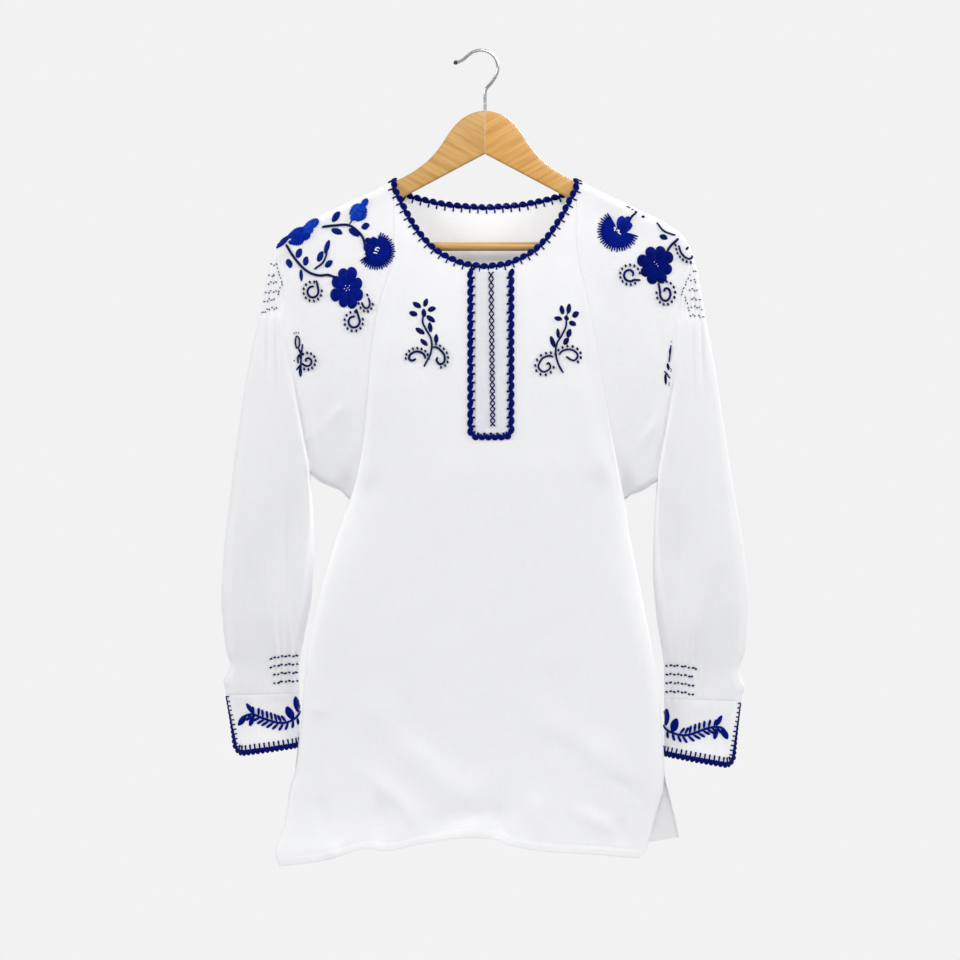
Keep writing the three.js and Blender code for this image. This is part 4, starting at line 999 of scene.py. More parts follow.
def scallops(
    strands, line, out, normal, pitch, inner, outer, tick,
    loops=8, radius=0.6, leg=0.9, faces=2, scale=1, slant=0,
):  # fmt: skip
    """Buttonhole-stitched scallops along an edge, each an oval bead of loops with one leg into the cloth.

    line is the edge, out points off the cloth along it, and normal off its face. The beads reach from inner
    inside the edge to outer past it, and wrap it where both faces are stitched. scale thins them.
    """
    lengths = lengths_along(line)
    count = max(1, round(lengths[-1] / pitch))
    step = lengths[-1] / count
    scale = np.broadcast_to(scale, len(line))

    def spot(place, off, height):
        place = min(max(place, 0), lengths[-1])
        point, outwards, face = (sampled(field, lengths, place) for field in (line, out, normal))
        return point + outwards * off + face * height

    for n in range(count):
        start = n * step
        size = float(np.interp(start + step / 2, lengths, scale))
        thin = radius * (0.6 + 0.4 * size)
        lean = slant * step * 0.5
        rim = []
        for k in range(loops):
            t = (k + 0.5) / loops
            bulge = math.sin(math.pi * t) ** 0.5
            place = start + step * (0.5 + (t - 0.5) * 0.96)
            crown = 0.55 + 0.75 * bulge
            # Half a loop over the face, from inside the edge to past it: where it is, how far out, how high.
            half = [
                (place - lean, -inner * bulge * size, 0.3),
                (place - 0.5 * lean, -0.5 * inner * bulge * size, crown),
                (place + 0.4 * lean, 0.55 * outer * bulge * size, crown),
            ]
            tip = place + lean, outer * bulge * size
            points = [spot(*at) for at in half] + [spot(*tip, 0.3 if faces == 1 else 0.0)]
            if faces == 2:
                points += [spot(along, off, -height) for along, off, height in half[::-1]]
            strands.append((points, thin))
            rim.append(spot(*tip, 0.3))
        strands.append((rim, thin))
        # The edge thread that the loops are worked over joins one bead to the next.
        for face in (1, -1)[:faces]:
            core = [spot(start + step * t, 0.1 * (outer - inner) * size, 0.55 * face) for t in (-0.3, 0, 0.3)]
            strands.append((core, (0.45 + 0.75 * size) * radius * 2))
            reach = -(0.35 * inner + tick) * (0.55 + 0.45 * size)
            stitch = (0.4 * size, 0.9), (0.45 * reach, 0.85), (reach, 0.45)
            thick = leg * (0.7 + 0.3 * size)
            legs = [spot(start, off, height * face) for off, height in stitch]
            strands.append((legs, (thick, thick * 0.86, thick * 0.96)))


# ------------------------------------------------------------------ stitched edges


def smooth_field(field, closed, steps=9):
    """Directions along a line, each averaged with its neighbours."""
    kernel = np.hanning(steps + 2)[1:-1]
    half = steps // 2
    padded = np.pad(field, ((half, half), (0, 0)), mode="wrap" if closed else "edge")
    return unit(np.stack([np.convolve(column, kernel, mode="valid") for column in padded.T], axis=1))


def edge_frame(edge, inside, towards, closed=False):
    """Outward directions square to an edge and face normals, from points just inside it and rough normals."""
    along = unit(np.gradient(edge, axis=0))
    out = edge - inside
    out = unit(out - along * np.sum(out * along, axis=1, keepdims=True))
    out = smooth_field(out, closed)
    normal = towards - out * np.sum(towards * out, axis=1, keepdims=True)
    return out, smooth_field(unit(normal), closed)


def neck_scallops():
    """Scallops along the front neckline, over both arms of the hanger and along the back neckline."""
    across = np.linspace(-1, 1, 241)

    # Each part of the edge as points on it, points 3 mm inside it and rough normals.
    def panel_edge(side, neckline, shares):
        z = curve(neckline, "across", "z", np.abs(shares))
        normals = np.tile([0.0, side, 0.0], (len(shares), 1))
        return panel_surface(side, shares, z), panel_surface(side, shares, z - 3), normals

    def over_arm(hand, outline):
        length = outline["out_z"][0] - outline["under_z"][0]
        down = (outline["out_z"][0] - NECK_CORNER_Z) / length * np.linspace(1, 0, 16) ** 1.5
        parts = []
        for side, downs in ((FRONT, down), (BACK, down[::-1][1:])):
            turned = roll(downs * length, 10)
            parts.append((
                sleeve_surface(outline, hand, 0.0, downs, side),
                sleeve_surface(outline, hand, 0.1, downs, side),
                np.stack([0 * downs, side * turned, np.sqrt(1 - np.clip(turned, 0, 1) ** 2)], axis=1),
            ))  # fmt: skip
        return [np.concatenate(p) for p in zip(*parts)]

    parts = [
        panel_edge(FRONT, FRONT_NECKLINE, across),
        over_arm(RIGHT, RIGHT_SLEEVE),
        panel_edge(BACK, BACK_NECKLINE, across[::-1]),
        [p[::-1] for p in over_arm(LEFT, LEFT_SLEEVE)],
    ]
    edge, inside, towards = (np.concatenate([p[k] for p in parts]) for k in range(3))
    keep = np.concatenate([[True], np.linalg.norm(np.diff(edge, axis=0), axis=1) > 0.05])
    edge, inside, towards = edge[keep], inside[keep], towards[keep]
    out, normal = edge_frame(edge, inside, towards, closed=True)
    strands = []
    scallops(strands, edge, out, normal, pitch=9.3, inner=2.7, outer=3.9, tick=5.6, leg=1.05, slant=0.12)
    return thread_piece("neck_scallops", strands)


def cuff_scallops(name, outline):
    """Scallops round a cuff's lower edge, which dwindle to a fine blanket stitch up both sides of its slit."""
    rows = cuff_points(outline)
    edge = np.concatenate([rows[1:, 0], rows[-1, 1:-1], rows[::-1, -1][:-1]])
    inside = np.concatenate([rows[1:, 2], rows[-3, 1:-1], rows[::-1, -3][:-1]])
    inside[len(rows) - 2], inside[-len(rows) + 1] = rows[-3, 2], rows[-3, -3]
    spine = rows.reshape(-1, 3).mean(axis=0)
    towards = (edge - spine) * [0.3, 1, 0]
    steps = lengths_along(edge)
    even = np.linspace(0, steps[-1], round(steps[-1] / 1.2))
    edge, inside, towards = (sampled(field, steps, even) for field in (edge, inside, towards))
    out, normal = edge_frame(edge, inside, towards)
    up = np.linalg.norm(rows[-1, 0] - rows[1, 0])
    near = np.minimum(even, steps[-1] - even)
    scale = mix(0.3, 1, smoothstep(near, 0.3 * up, 1.1 * up))
    strands = []
    scallops(strands, edge, out, normal, pitch=5.5, inner=2.9, outer=3.5, tick=7.2, loops=6, radius=0.62,
             leg=1.15, scale=scale)  # fmt: skip
    return thread_piece(name, strands)


def placket_scallops():
    """The border round the placket: slanted oval beads with short thick legs that reach in over the strip."""
    left, right, bottom = PLACKET["left"] - 5.7, PLACKET["right"] + 3.9, PLACKET["bottom"] - 4.0
    top, bend = -249.0, 7.5
    corner = np.radians(np.linspace(0, 90, 10))
    turn_left = [(left + bend - bend * math.cos(a), bottom + bend - bend * math.sin(a)) for a in corner]
    turn_right = [(right - bend + bend * math.sin(a), bottom + bend - bend * math.cos(a)) for a in corner]
    strands = []
    sides = [
        ([(left, top), *turn_left[:5]], 10.0),
        ([*turn_left[4:], *turn_right[:6]], 7.9),
        ([*turn_right[5:], (right, top)], 10.0),
    ]
    for points, pitch in sides:
        path = resampled(np.array(points, float), 1.0)
        run = smooth_field(np.gradient(path, axis=0), False)
        edge = front_at(path[:, 0], path[:, 1])
        edge[:, 1] -= 0.6
        out = np.stack([run[:, 1], 0 * run[:, 0], -run[:, 0]], axis=1)
        normal = np.tile([0.0, -1.0, 0.0], (len(path), 1))
        scallops(strands, edge, out, normal, pitch, inner=3.0, outer=3.2, tick=3.9, radius=0.72, leg=1.5,
                 faces=1, slant=0.3)  # fmt: skip
    return thread_piece("placket_scallops", strands)


def placket_crosses():
    """The ladder of crossed stitches down the middle of the placket."""
    strands = []
    count, top, bottom = 24, -250.5, -427.0
    places = np.linspace(0, 1, count + 1)
    feet = top + (bottom - top) * (1.12 * places - 0.12 * places**2)
    for z, below in zip(feet, feet[1:]):
        x = mix(11.2, 13.2, (top - z) / (top - bottom))
        for hand in (-1, 1):
            ends = np.array([[x - hand * 2.7, z - 0.3], [x + hand * 2.7, below + 0.3]])
            points = [mix(ends[0], ends[1], s) for s in (0, 0.5, 1)]
            strands.append((laid(points, (0.3, 0.8 + 0.3 * hand, 0.3)), (0.85, 0.72, 0.85)))
    return thread_piece("placket_crosses", strands)


# ------------------------------------------------------------------ motifs


def shoulder_motifs():
    """Both shoulders: carnations, round flowers, leafy heads, stems with small leaves, and curled tendrils."""
    royal, deep, navy, leafage, middling, bright, white = [], [], [], [], [], [], []
    # Left shoulder.
    stem(navy, [(-181, -199.5), (-167, -198), (-152, -197.5), (-142, -203.5), (-135, -212), (-132, -223)], 2.8)
    fringed_flower(
        royal, white, -119.8, -227, 20.8, -150, 82,
        [(-133.5, -220, -117, -229, 13), (-131.5, -212.5, -120, -222, 8), (-124, -211, -116, -224, 8),
         (-132.5, -229, -117, -232, 9)],
        [(0.8, 3.6, 4, 2.6), (-1.4, 0.8, 2.8, -0.4), (-3, -2.2, 1, -3.2), (-1.4, 0.8, 0.8, 3.6)],
    )  # fmt: skip
    leafy_flower(bright, [(-142.5, -193, -132, -183.5, 8.6), (-150, -186, -139.5, -174.5, 8),
                          (-149, -192, -133, -176, 16), (-137.5, -179.5, -130, -168, 6.5)])  # fmt: skip
    stem(navy, [(-150, -196), (-146.5, -191)], 1.6)
    leaves(leafage, [
        (-170, -193.5, -161, -182.5, 7), (-170.5, -202, -158.5, -207.5, 7), (-150.5, -201.5, -139.5, -210.5, 7),
        (-136.5, -200, -127.5, -197.5, 7.5),
    ])  # fmt: skip
    leafy_flower(middling, [(-220, -217.5, -202.5, -214.5, 9.5), (-214.5, -211.5, -195, -208.5, 10.5),
                            (-221, -212.5, -202, -201.5, 8)])  # fmt: skip
    leafy_flower(bright, [(-211, -206.5, -191.5, -202, 10), (-203.5, -203.5, -185.5, -192, 9)])
    leafy_flower(leafage, [(-234, -225, -219, -210.5, 5)])
    stem(navy, [(-222, -220), (-217, -229), (-211, -237.5), (-203, -246.5), (-194, -252.5), (-184, -255),
                (-174, -254.5), (-163, -258.5)], 2.8)  # fmt: skip
    leaves(leafage, [
        (-220, -236, -217.5, -246.5, 6.8), (-210.5, -234.5, -205, -224.5, 7),
        (-201.5, -243.5, -198.5, -233.5, 6.5), (-205.5, -248, -205, -261.5, 3.6),
        (-186.5, -239, -180.5, -227.5, 6.5), (-178, -245, -169.5, -238.5, 6.5),
        (-178.5, -230, -173, -214.5, 5.4),
    ])  # fmt: skip
    stem(navy, [(-190, -247.5), (-181, -241), (-177, -233), (-175.5, -224)], 2.2)
    round_flower(royal, white, -153, -269.5, 19, 24, 8, 68, 6)
    spiral(navy, -192.1, -273.1, 6.7, 12, -292, (-187.4, -261.1), 2.5, 1.06, 11, 0.25)
    spiral(navy, -145.3, -307.3, 6.7, 22, -300, (-142.5, -293.6), 2.5, 1.06, 11, 0.25)
    tendril(navy, [(-136, -285.6), (-134.4, -290), (-131, -292.4), (-127.8, -290.2), (-127, -286)],
            [(-128.4, -280.8)], 2.3, (-131, -284), 6)  # fmt: skip
    knot(navy, -129.8, -277.2)
    # Right shoulder.
    fringed_flower(
        royal, white, 155.9, -204.2, 22.8, 119, 347,
        [(169.2, -193, 155.2, -205, 14)],
        [(-4.6, 2.6, -2.0, 3.6), (-4.2, -0.4, -2.4, 2.2), (-1.6, -0.4, 1.2, 0.4), (1.4, 0.2, 0.4, -2.8),
         (0.4, -2.8, 3.2, -4.4)],
    )  # fmt: skip
    leaves(middling, [(169.2, -193, 155.5, -205, 13), (162.2, -187.5, 155.7, -201, 9),
                      (169.2, -188, 160.2, -201, 8),
                      (172.4, -196.5, 158.2, -205, 9)], thread=0.6)  # fmt: skip
    stem(navy, [(168.5, -194.5), (171.5, -188), (177, -183.5)], 2.4)
    round_flower(deep, white, 199, -242.5, 20.4, 22.2, 8, 28, 3)
    stem(navy, [(211, -228.5), (217, -220), (224.5, -213.5)], 2.8)
    leaves(navy, [(203.8, -209, 212, -213.4, 6), (233.2, -225.6, 235.8, -222.8, 2.6),
                  (183, -187.6, 186, -188.9, 2.6), (175, -182.2, 177.5, -183.4, 1.8)])  # fmt: skip
    stem(navy, [(165.6, -176.4), (169.3, -178.6)], 1.5)
    stem(navy, [(171.3, -179.8), (172.9, -180.8)], 1.5)
    stem(navy, [(200.3, -195.3), (206, -202.5), (211.7, -206), (220.9, -209.5)], 2.1)
    spiral(navy, 169.6, -254.2, 7.4, -50, -330, (181, -260.5), 2.6, dots=12)
    spiral(navy, 210.3, -275, 6.6, 170, 335, (202.3, -264), 2.6, tall=1.4, dots=12)
    tendril(navy, [(225.3, -221), (227.6, -228.6), (232.6, -234.3), (238, -236)],
            [(240, -233.2)], 2.3, (236.5, -223), 7)  # fmt: skip
    return [
        (thread_piece("shoulder_flowers", royal), ROYAL),
        (thread_piece("shoulder_dark_flower", deep), DEEP),
        (thread_piece("shoulder_stems", navy), NAVY),
        (thread_piece("shoulder_leaves", leafage), LEAF),
        (thread_piece("shoulder_leafy_head_petals", middling), MID),
        (thread_piece("shoulder_leafy_heads", bright), BRIGHT),
        (thread_piece("shoulder_pale_stitches", white), WHITE_THREAD),
    ]


def chest_sprigs():
    """Two sprigs beside the placket: a leafy stem with a tuft of leaves and two curled tendrils."""
    strands = []
    stem(strands, [(-65.2, -358.5), (-61.2, -351.3), (-57.7, -344.2), (-56.2, -334.2), (-57.7, -325.7),
                   (-62.6, -317.1), (-66.6, -308.6), (-66.2, -301.5)], 2.2)  # fmt: skip
    leaves(strands, [
        (-69.1, -291.8, -77.6, -285.4, 5.8), (-65.3, -290.4, -61.4, -281.6, 5.2),
        (-61, -294.2, -51.8, -292.4, 5.8), (-73.2, -300.7, -81.6, -296.3, 6.2),
        (-62, -300.6, -53, -308.2, 5.6), (-65.5, -302.4, -65.3, -293, 5.4),
        (-57.7, -319.6, -58.7, -308.4, 5), (-65, -321.8, -74.6, -314.8, 5.6),
        (-61.6, -335, -68.9, -327.4, 5), (-51.8, -332.4, -50.9, -321.8, 4.8),
    ], thread=0.45)  # fmt: skip
    tendril(strands, [(-63.7, -349.4), (-65.6, -344.7), (-70.7, -341.9), (-76.4, -342.2), (-81.2, -345.6),
                      (-82.1, -349.4)], [(-79.3, -352.1), (-74.9, -350.4)], 2.6, (-73.5, -349), 9)  # fmt: skip
    tendril(strands, [(-54.6, -336.2), (-48.9, -338), (-42.2, -345.6), (-42.2, -353.3), (-47, -356.1)],
            [(-50.7, -352.3), (-49.8, -348.5)], 2.6, (-50, -347), 9)  # fmt: skip
    stem(strands, [(93.1, -365.7), (87.4, -354.6), (84.9, -341.6), (86.6, -331.8), (91.5, -323.7),
                   (96.3, -313.9), (97.1, -306.6)], 2.2)  # fmt: skip
    stem(strands, [(97.3, -301.5), (98.4, -297)], 1.4)
    leaves(strands, [
        (92.6, -299.4, 91.5, -289, 5.2), (98.8, -298.4, 100.7, -287.2, 5.2),
        (103.7, -301.4, 111.2, -297.4, 6.6), (92, -305.4, 83.5, -302.7, 5.2),
        (100.7, -307.3, 107.4, -312, 5.8), (97.1, -306.4, 97.3, -300.8, 5.2),
        (87.9, -326.3, 87.3, -315.3, 3.8), (83.4, -337.2, 79.3, -323.9, 5),
        (98.2, -325.4, 101.8, -316.1, 5.8), (93.8, -333.3, 99.8, -326.4, 5.8),
    ], thread=0.45)  # fmt: skip
    tendril(strands, [(81.7, -347.8), (76.8, -346.5), (69.5, -349.7), (65.1, -357.8), (67, -362.4),
                      (71.4, -364.7), (76.8, -362.4), (78.9, -358.3)],
            [(76.8, -354.6), (74.4, -355.9)], 2.2, (72.5, -356), 11)  # fmt: skip
    tendril(strands, [(88.7, -344.8), (93.1, -340.8), (100.4, -339.1), (106.9, -341.6), (109.9, -346.5),
                      (106.9, -351.3)], [(102.1, -351), (97.2, -347.3)], 2.2, (100.5, -347), 9)  # fmt: skip
    return [(thread_piece("chest_sprigs", strands), NAVY)]


def sleeve_sprigs():
    """The same sprig lower on each sleeve, half turned away by the fold that it lies on."""
    strands = []
    turns = np.linspace(0.3, 2 * math.pi, 14)
    stem(strands, [(-209.5 + 2.6 * math.sin(a), -331 + 7 * math.cos(a)) for a in turns], 1.8)
    stem(strands, [(-203.5, -333.5), (-204.6, -342), (-205.5, -354), (-206.2, -370)], 2.0)
    stem(strands, [(-206.4, -344.5), (-209.2, -348), (-209, -354.6)], 2.0)
    stem(strands, [(-203, -355.2), (-207, -358), (-210.8, -362.5)], 1.9)
    leaves(strands, [(-206.4, -359, -206, -370.5, 3.6), (-208, -338, -206.2, -343.5, 2)], thread=0.42)
    spiral(strands, -198.2, -352.6, 5.6, 210, 340, None, 2.3, curl=0.75)
    for x, z in ((-213.5, -320.8), (-210.9, -319.8), (-208, -320.4), (-213.4, -352.2)):
        knot(strands, x, z, 2.0)
    stem(strands, [(216.4, -334.5), (215.4, -344), (214, -353.5)], 1.6)
    stem(strands, [(209, -364), (212, -367.6), (215, -372)], 1.7)
    leaves(strands, [
        (212.4, -355, 213.8, -363, 3), (210, -367, 210.4, -379.5, 2.8), (215.4, -338, 214.6, -345, 1.9),
    ], thread=0.42)  # fmt: skip
    for x, z in ((216.7, -330.4), (216.6, -361.5), (216.5, -364), (214.2, -377.5), (213.9, -380)):
        knot(strands, x, z, 1.9)
    return [(thread_piece("sleeve_sprigs", strands), NAVY)]


# Stitch, gap, width and zigzag of the rows that hold each shoulder's drop, close it and hold each wrist.
DROP_STITCH, CLOSING_STITCH, WRIST_STITCH = (1.4, 1.5, 1.25, 1.3), (1.4, 2.6, 1.3, 0.3), (2.1, 2.1, 2.2, 0.7)


def smocking_rows():
    """Six rows of small stitches over each shoulder's drop and four over each wrist, which hold the gathers."""
    strands = []
    rows = table(
        "left_x left_z right_x right_z",
        (-232.4, -243, 240.6, -249.2), (-234.6, -255.4, 238.8, -260), (-233, -263.4, 236.4, -271),
        (-233, -273.6, 239, -281.2), (-235, -282.8, 239.5, -290.5), (-232, -293, 237.4, -300.5),
    )  # fmt: skip
    for left_x, left_z, right_x, right_z in zip(*rows.values()):
        # The rows go round the outer fold, so they are laid on both faces from there.
        for side in (FRONT, BACK):
            outer = float(curve(LEFT_SLEEVE, "out_z", "out_x", left_z)) + 0.8
            end = outer, left_z - 0.02 * (left_z + 240) ** 2 / 10
            run = [(left_x, left_z), (mix(left_x, outer, 0.5), left_z + 0.4), end]
            running_row(strands, run, *DROP_STITCH, side)
            outer = float(curve(RIGHT_SLEEVE, "out_z", "out_x", right_z)) - 0.8
            run = [(right_x, right_z), (mix(right_x, outer, 0.5), right_z - 0.4), (outer, right_z - 3)]
            running_row(strands, run, *DROP_STITCH, side)
    # A bent row closes each patch on its inner side.
    bent_left = [(-232, -246), (-228.7, -259.3), (-226.8, -263.7), (-229.5, -270.2), (-232, -279)]
    bent_right = [(237.6, -254), (229.1, -274.8), (232.7, -281), (235.2, -289), (236.6, -298)]
    running_row(strands, bent_left, *CLOSING_STITCH)
    running_row(strands, bent_right, *CLOSING_STITCH)
    for n in range(4):
        left, right = -689.5 - 9.6 * n, -699.5 - 9.9 * n
        for side, *run in (
            (FRONT, (-209.5, left + 1), (-226, left + 0.6), (-243 + 1.6 * n, left - 2.5)),
            (FRONT, (211, right), (228, right - 0.5), (247 - 1.6 * n, right - 4)),
            (BACK, (-211, left + 1), (-230, left), (-250, left - 2)),
            (BACK, (212, right), (232, right - 1), (254, right - 3)),
        ):
            running_row(strands, run, *WRIST_STITCH, side)
    return [(thread_piece("smocking_stitches", strands), NAVY)]


def fern(strands, spine, upper, lower):
    """A fern frond: a stem with slanting satin leaflets, so many over it and so many under it."""
    stem(strands, spine, 2.6)
    path = smooth_path(spine, 0.5)
    run = unit(np.gradient(path, axis=0))
    rows = (upper, 1, 0.24, 0.74, 0.5, 10.8), (lower, -1, 0.2, 0.92, 0.85, 11.4)
    for count, hand, first, final, lean, size in rows:
        for share in np.linspace(first, final, count):
            i = int(share * (len(path) - 1))
            up = np.array([-run[i, 1], run[i, 0]]) * (1 if run[i, 0] > 0 else -1)
            slant = unit((up * hand - run[i] * lean)[None])[0]
            long = size * (1 - 0.22 * abs(2 * share - 1.1))
            across = np.array([-slant[1], slant[0]])
            for off in (-0.65, 0, 0.65):
                start = path[i] + slant * 1.2 + across * off * 0.3
                end = path[i] + slant * (long - abs(off)) + across * off
                points = [
                    mix(start, end, s) + across * off * math.sin(math.pi * s) * 0.7 for s in (0, 0.35, 0.7, 1)
                ]
                strands.append((laid(points, (0.3, 0.8, 0.8, 0.2)), (0.45, 0.74, 0.8, 0.6)))


def cuff_ferns():
    """A fern frond with larger leaves at its ends on each cuff."""
    strands = []
    fern(strands, [(-273, -763), (-269, -757), (-260, -755), (-249, -759.5), (-237, -763.5), (-227.5, -765),
                   (-218, -763), (-211, -758), (-207, -752)], 8, 11)  # fmt: skip
    leaves(strands, [
        (-260, -754, -267.5, -742.5, 4.8), (-259.5, -757, -264, -768.5, 5.5), (-215.5, -761, -221.5, -746, 8.6),
        (-209, -753, -212, -734.5, 7.4), (-268, -756.5, -277, -767.5, 6.5),
    ])  # fmt: skip
    fern(strands, [(279.5, -778), (275.7, -771.5), (268.8, -769.5), (257.5, -771), (245.5, -775.5),
                   (233.5, -779), (222, -777.5), (212.5, -773), (208.5, -768)], 8, 11)  # fmt: skip
    leaves(strands, [
        (267.5, -768, 274.5, -756.5, 5), (268.5, -771.5, 265.5, -783.5, 5.5), (217.5, -775, 223.5, -760, 9),
        (210, -768, 212, -748.5, 7.8), (274.5, -771.5, 280.5, -783.5, 7),
    ])  # fmt: skip
    return [(thread_piece("cuff_ferns", strands), ROYAL)]


# ------------------------------------------------------------------ hanger

STEM_X = 4.3
ARM_REACH, ARM_THICK, ARM_EDGE = 217, 13, 2.5
ARM_TOP_Z, ARM_APEX_Z = -66.8, -112
SHOULDER_FALL, UNDER_FALL = 0.5, 0.555
ARM_SWEEP = math.radians(3)
BAR_Z, BAR_REACH, BAR_RADIUS = -222.6, 202, 5.05
BAR_Y = -BAR_REACH * 0.97 * math.tan(ARM_SWEEP)
WIRE_RADIUS = 1.8
HOOK_LINE = [
    (STEM_X, -66.4), (STEM_X, -56), (4.4, -47), (6.2, -41.5), (11.9, -35), (16.8, -27), (18.9, -18.4),
    (16.9, -8.6), (10, -1), (0, WIRE_RADIUS), (-8.6, 0.1), (-15.2, -4.3), (-21.6, -9.6), (-27.5, -12),
]  # fmt: skip


def bezier(points, count):
    a, b, c, d = (np.array(p, float) for p in points)
    t = np.linspace(0, 1, count)[:, None]
    return (1 - t) ** 3 * a + 3 * t * (1 - t) ** 2 * b + 3 * t**2 * (1 - t) * c + t**3 * d


def quadratic(a, b, c, count):
    a, b, c = (np.array(p, float) for p in (a, b, c))
    t = np.linspace(0, 1, count)[:, None]
    return (1 - t) ** 2 * a + 2 * t * (1 - t) * b + t**2 * c


def arm_outline():
    """One arm's outline from the joint along its top to the tip and back, for the right-hand arm."""
    crown_end, crown_z = 98.7, -146.5
    tip_top_z = crown_z - (ARM_REACH - crown_end) * SHOULDER_FALL
    tip_low_x = ARM_REACH - 12
    tip_low_z = ARM_APEX_Z - tip_low_x * UNDER_FALL
    joint = -8
    return np.concatenate([
        bezier([(joint, ARM_TOP_Z), (28, ARM_TOP_Z), (37, -87), (51, -108)], 15),
        bezier([(51, -108), (61, -122.5), (75, -135), (crown_end, crown_z)], 11)[1:],
        [(ARM_REACH - 8, tip_top_z + 3)],
        quadratic(
            (ARM_REACH - 8, tip_top_z + 3), (ARM_REACH, tip_top_z - 1), (ARM_REACH, tip_top_z - 9), 9
        )[1:],
        quadratic((ARM_REACH, tip_top_z - 9), (ARM_REACH, tip_low_z), (tip_low_x, tip_low_z), 9)[1:],
        [(joint, ARM_APEX_Z)],
    ])  # fmt: skip


def hanger_arm(name, hand):
    """An arm of flat beech, its edges rounded over, cut square at the joint and swept a little forward."""
    bm = bmesh.new()
    ring = [bm.verts.new((x * MM, -ARM_THICK / 2 * MM, z * MM)) for x, z in arm_outline()]
    face = bm.faces.new(ring)
    grown = bmesh.ops.extrude_face_region(bm, geom=[face])
    moved = [v for v in grown["geom"] if isinstance(v, bmesh.types.BMVert)]
    bmesh.ops.translate(bm, verts=moved, vec=(0, ARM_THICK * MM, 0))
    edges = [e for e in bm.edges if abs(e.verts[0].co.y - e.verts[1].co.y) < 1e-7]
    bmesh.ops.bevel(bm, geom=edges, offset=ARM_EDGE * MM, segments=5, profile=0.5, affect="EDGES", material=-1)
    if hand == LEFT:
        bmesh.ops.rotate(bm, verts=bm.verts, cent=(0, 0, 0), matrix=Matrix.Rotation(math.pi, 3, "Z"))
    bmesh.ops.rotate(bm, verts=bm.verts, cent=(0, 0, 0), matrix=Matrix.Rotation(-hand * ARM_SWEEP, 3, "Z"))
    bmesh.ops.translate(bm, verts=bm.verts, vec=(STEM_X * MM, 0, 0))
    middle = (STEM_X + hand * 0.12) * MM
    whole = [*bm.verts, *bm.edges, *bm.faces]
    bmesh.ops.bisect_plane(bm, geom=whole, plane_co=(middle, 0, 0), plane_no=(hand, 0, 0), clear_inner=True)
    open_edges = [e for e in bm.edges if e.is_boundary]
    bmesh.ops.edgenet_fill(bm, edges=open_edges)
    bmesh.ops.recalc_face_normals(bm, faces=bm.faces)
    return from_bmesh(name, bm, sharp=38)


def trouser_bar():
    """A turned round bar with softened ends."""
    bm = bmesh.new()
    bmesh.ops.create_cone(bm, cap_ends=True, segments=40, radius1=BAR_RADIUS * MM, radius2=BAR_RADIUS * MM,
                          depth=2 * BAR_REACH * MM)  # fmt: skip
    rims = [e for e in bm.edges if abs(e.verts[0].co.z - e.verts[1].co.z) < 1e-7]
    bmesh.ops.bevel(bm, geom=rims, offset=1 * MM, segments=3, profile=0.5, affect="EDGES", material=-1)
    bmesh.ops.rotate(bm, verts=bm.verts, cent=(0, 0, 0), matrix=Matrix.Rotation(math.pi / 2, 3, "Y"))
    bmesh.ops.translate(bm, verts=bm.verts, vec=(STEM_X * MM, BAR_Y * MM, BAR_Z * MM))
    return from_bmesh("trouser_bar_round", bm, sharp=38)


def hook_wire():
    path = smooth_path([(x, 0, z) for x, z in HOOK_LINE], 1.2)
    return thread_piece("hook_wire", [(path, WIRE_RADIUS)], bevel_steps=5)


def hook_end():
    """The wire's dark end: a moulded bead drawn out a little over the wire."""
    bm = bmesh.new()
    bmesh.ops.create_uvsphere(bm, u_segments=28, v_segments=18, radius=2.5 * MM)
    for vert in bm.verts:
        if vert.co.z > 0:
            vert.co.z *= 1.25
    turn = Matrix.Rotation(math.radians(72), 3, "Y")
    bmesh.ops.rotate(bm, verts=bm.verts, cent=(0, 0, 0), matrix=turn)
    bmesh.ops.translate(bm, verts=bm.verts, vec=(-29.2 * MM, 0, -12.2 * MM))
    return from_bmesh("hook_bead", bm)


# ------------------------------------------------------------------ the pieces and what they stand for


def own(piece, material, slot, *nodes):
    piece.data.materials.append(material)
    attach(piece, "root")
    if nodes:
        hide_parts(*nodes)


PALE_BEECH = beech("varnished beech, paler board", "#D2A55E", "#C6974D", "#B3823B", math.radians(-29))
WARM_BEECH = beech("varnished beech, warmer board", "#DDAA5C", "#D29C4C", "#C2893B", math.radians(29))
BAR_BEECH = beech("varnished beech, turned bar", "#DBB274", "#CDA05E", "#B88A4A", 0)
own(hanger_arm("hanger_arm_left_wood", LEFT), PALE_BEECH, "varnished_beech", "hanger_arm_left")
own(hanger_arm("hanger_arm_right_wood", RIGHT), WARM_BEECH, "varnished_beech", "hanger_arm_right")
own(trouser_bar(), BAR_BEECH, "varnished_beech", "trouser_bar")
own(hook_wire(), plated_wire(), "steel_wire", "hook")
own(hook_end(), moulded_tip(), "hook_tip", "hook_tip")

own(front, BODY_COTTON, "cotton", "front")
own(back, BACK_COTTON_PAINTED_LIGHTER, "cotton", "back")
own(left_sleeve, SLEEVE_COTTON, "cotton", "sleeve_left")
own(right_sleeve, SLEEVE_COTTON, "cotton", "sleeve_right")
own(left_cuff, SLEEVE_COTTON, "cotton", "cuff_left")
own(right_cuff, SLEEVE_COTTON, "cotton", "cuff_right")
own(placket, PLACKET_COTTON, "cotton", "placket")

own(neck_scallops(), DEEP, "embroidery_thread", "neck_edging")
own(placket_scallops(), DEEP, "embroidery_thread", "placket_border")
for hand, outline in (("left", LEFT_CUFF), ("right", RIGHT_CUFF)):
    own(cuff_scallops(f"cuff_{hand}_scallops", outline), DEEP, "embroidery_thread", f"cuff_edging_{hand}")
own(placket_crosses(), NAVY, "embroidery_thread")
for make in (shoulder_motifs, chest_sprigs, sleeve_sprigs, smocking_rows, cuff_ferns):
    for piece, thread in make():
        own(piece, thread, "embroidery_thread")

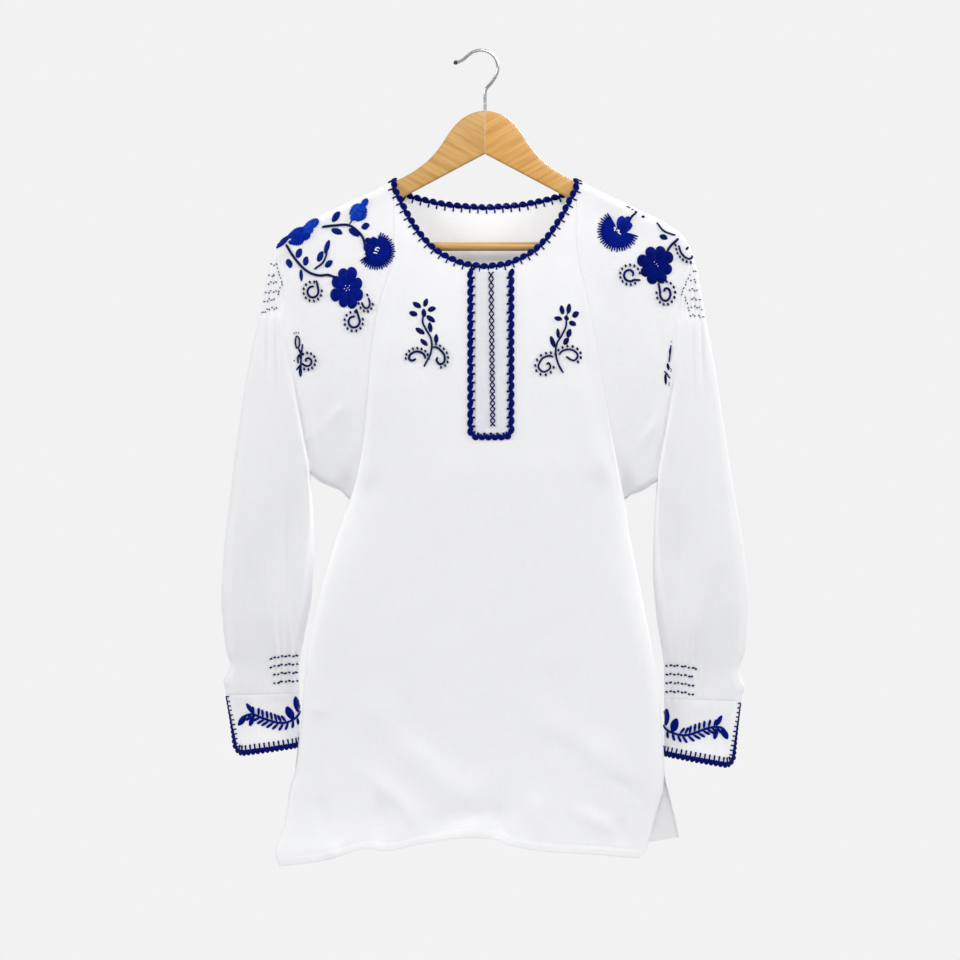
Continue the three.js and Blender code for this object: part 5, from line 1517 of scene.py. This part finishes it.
for piece in CLOTH_PIECES:
    thicken(piece)

# ------------------------------------------------------------------ floor, light and camera


def grey_floor():
    bm = bmesh.new()
    bmesh.ops.create_circle(bm, cap_ends=True, radius=1.6, segments=96)
    bmesh.ops.translate(bm, verts=bm.verts, vec=(0, 0, -1.6))
    floor = from_bmesh("floor", bm)
    material, tree, shader = new_material("matt grey floor")
    place = node(tree, "TexCoord").outputs["Object"]
    mottle = node(tree, "TexNoise", {"Vector": place}, Scale=3.0, Detail=2.0).outputs["Fac"]
    tone = node(tree, "ValToRGB", {"Fac": mottle}, stops=((0.3, "#BEBEC0"), (0.7, "#C6C6C8")))
    finish(tree, shader, tone, Roughness=0.9)
    floor.data.materials.append(material)
    return floor


def area_light(name, place, target, size, power):
    light = bpy.data.lights.new(name, "AREA")
    light.shape = "DISK"
    light.size = size
    light.energy = power
    lamp = bpy.data.objects.new(name, light)
    bpy.context.scene.collection.objects.link(lamp)
    lamp.location = place
    lamp.rotation_euler = (Vector(target) - Vector(place)).to_track_quat("-Z", "Y").to_euler()


def studio_world(shown, lit, strength):
    """A plain pale surround: one grey behind the object, and a softer one that lights it."""
    world = bpy.data.worlds.new("pale studio")
    world.use_nodes = True
    tree = world.node_tree
    tree.nodes.clear()
    seen = node(tree, "LightPath").outputs["Is Camera Ray"]
    lighting = node(tree, "Background", Color=colour(lit), Strength=strength).outputs[0]
    backdrop = node(tree, "Background", Color=colour(shown), Strength=1.0).outputs[0]
    both = node(tree, "MixShader", {0: seen, 1: lighting, 2: backdrop})
    node(tree, "OutputWorld", {"Surface": both.outputs[0]})
    bpy.context.scene.world = world


grey_floor()
studio_world("#F2F2F2", "#F6F7F9", 0.5)
area_light("front", (0.6, -2.6, 1.2), (0, 0, -0.3), 1.3, 38)
area_light("left", (-3.9, -1.5, 1.4), (0, 0, -0.45), 1.6, 86)
area_light("right", (3.9, -1.5, 1.6), (0, 0, -0.45), 1.6, 76)
area_light("rear", (1.5, 2.9, 1.5), (0, 0, -0.45), 1.8, 92)
bpy.context.scene.view_settings.view_transform = "Standard"

VIEW_WIDTH, SENSOR = 1.0944, 36  # metres seen at the hanger's plane, and the sensor's millimetres
camera_data = bpy.data.cameras.new("camera")
camera_data.sensor_width = SENSOR
camera_data.lens = SENSOR * EYE["away"] * MM / VIEW_WIDTH
camera = bpy.data.objects.new("camera", camera_data)
bpy.context.scene.collection.objects.link(camera)
camera.location = Vector((EYE["x"], -EYE["away"], EYE["z"])) * MM
camera.rotation_euler = (math.pi / 2, 0, 0)
bpy.context.scene.camera = camera
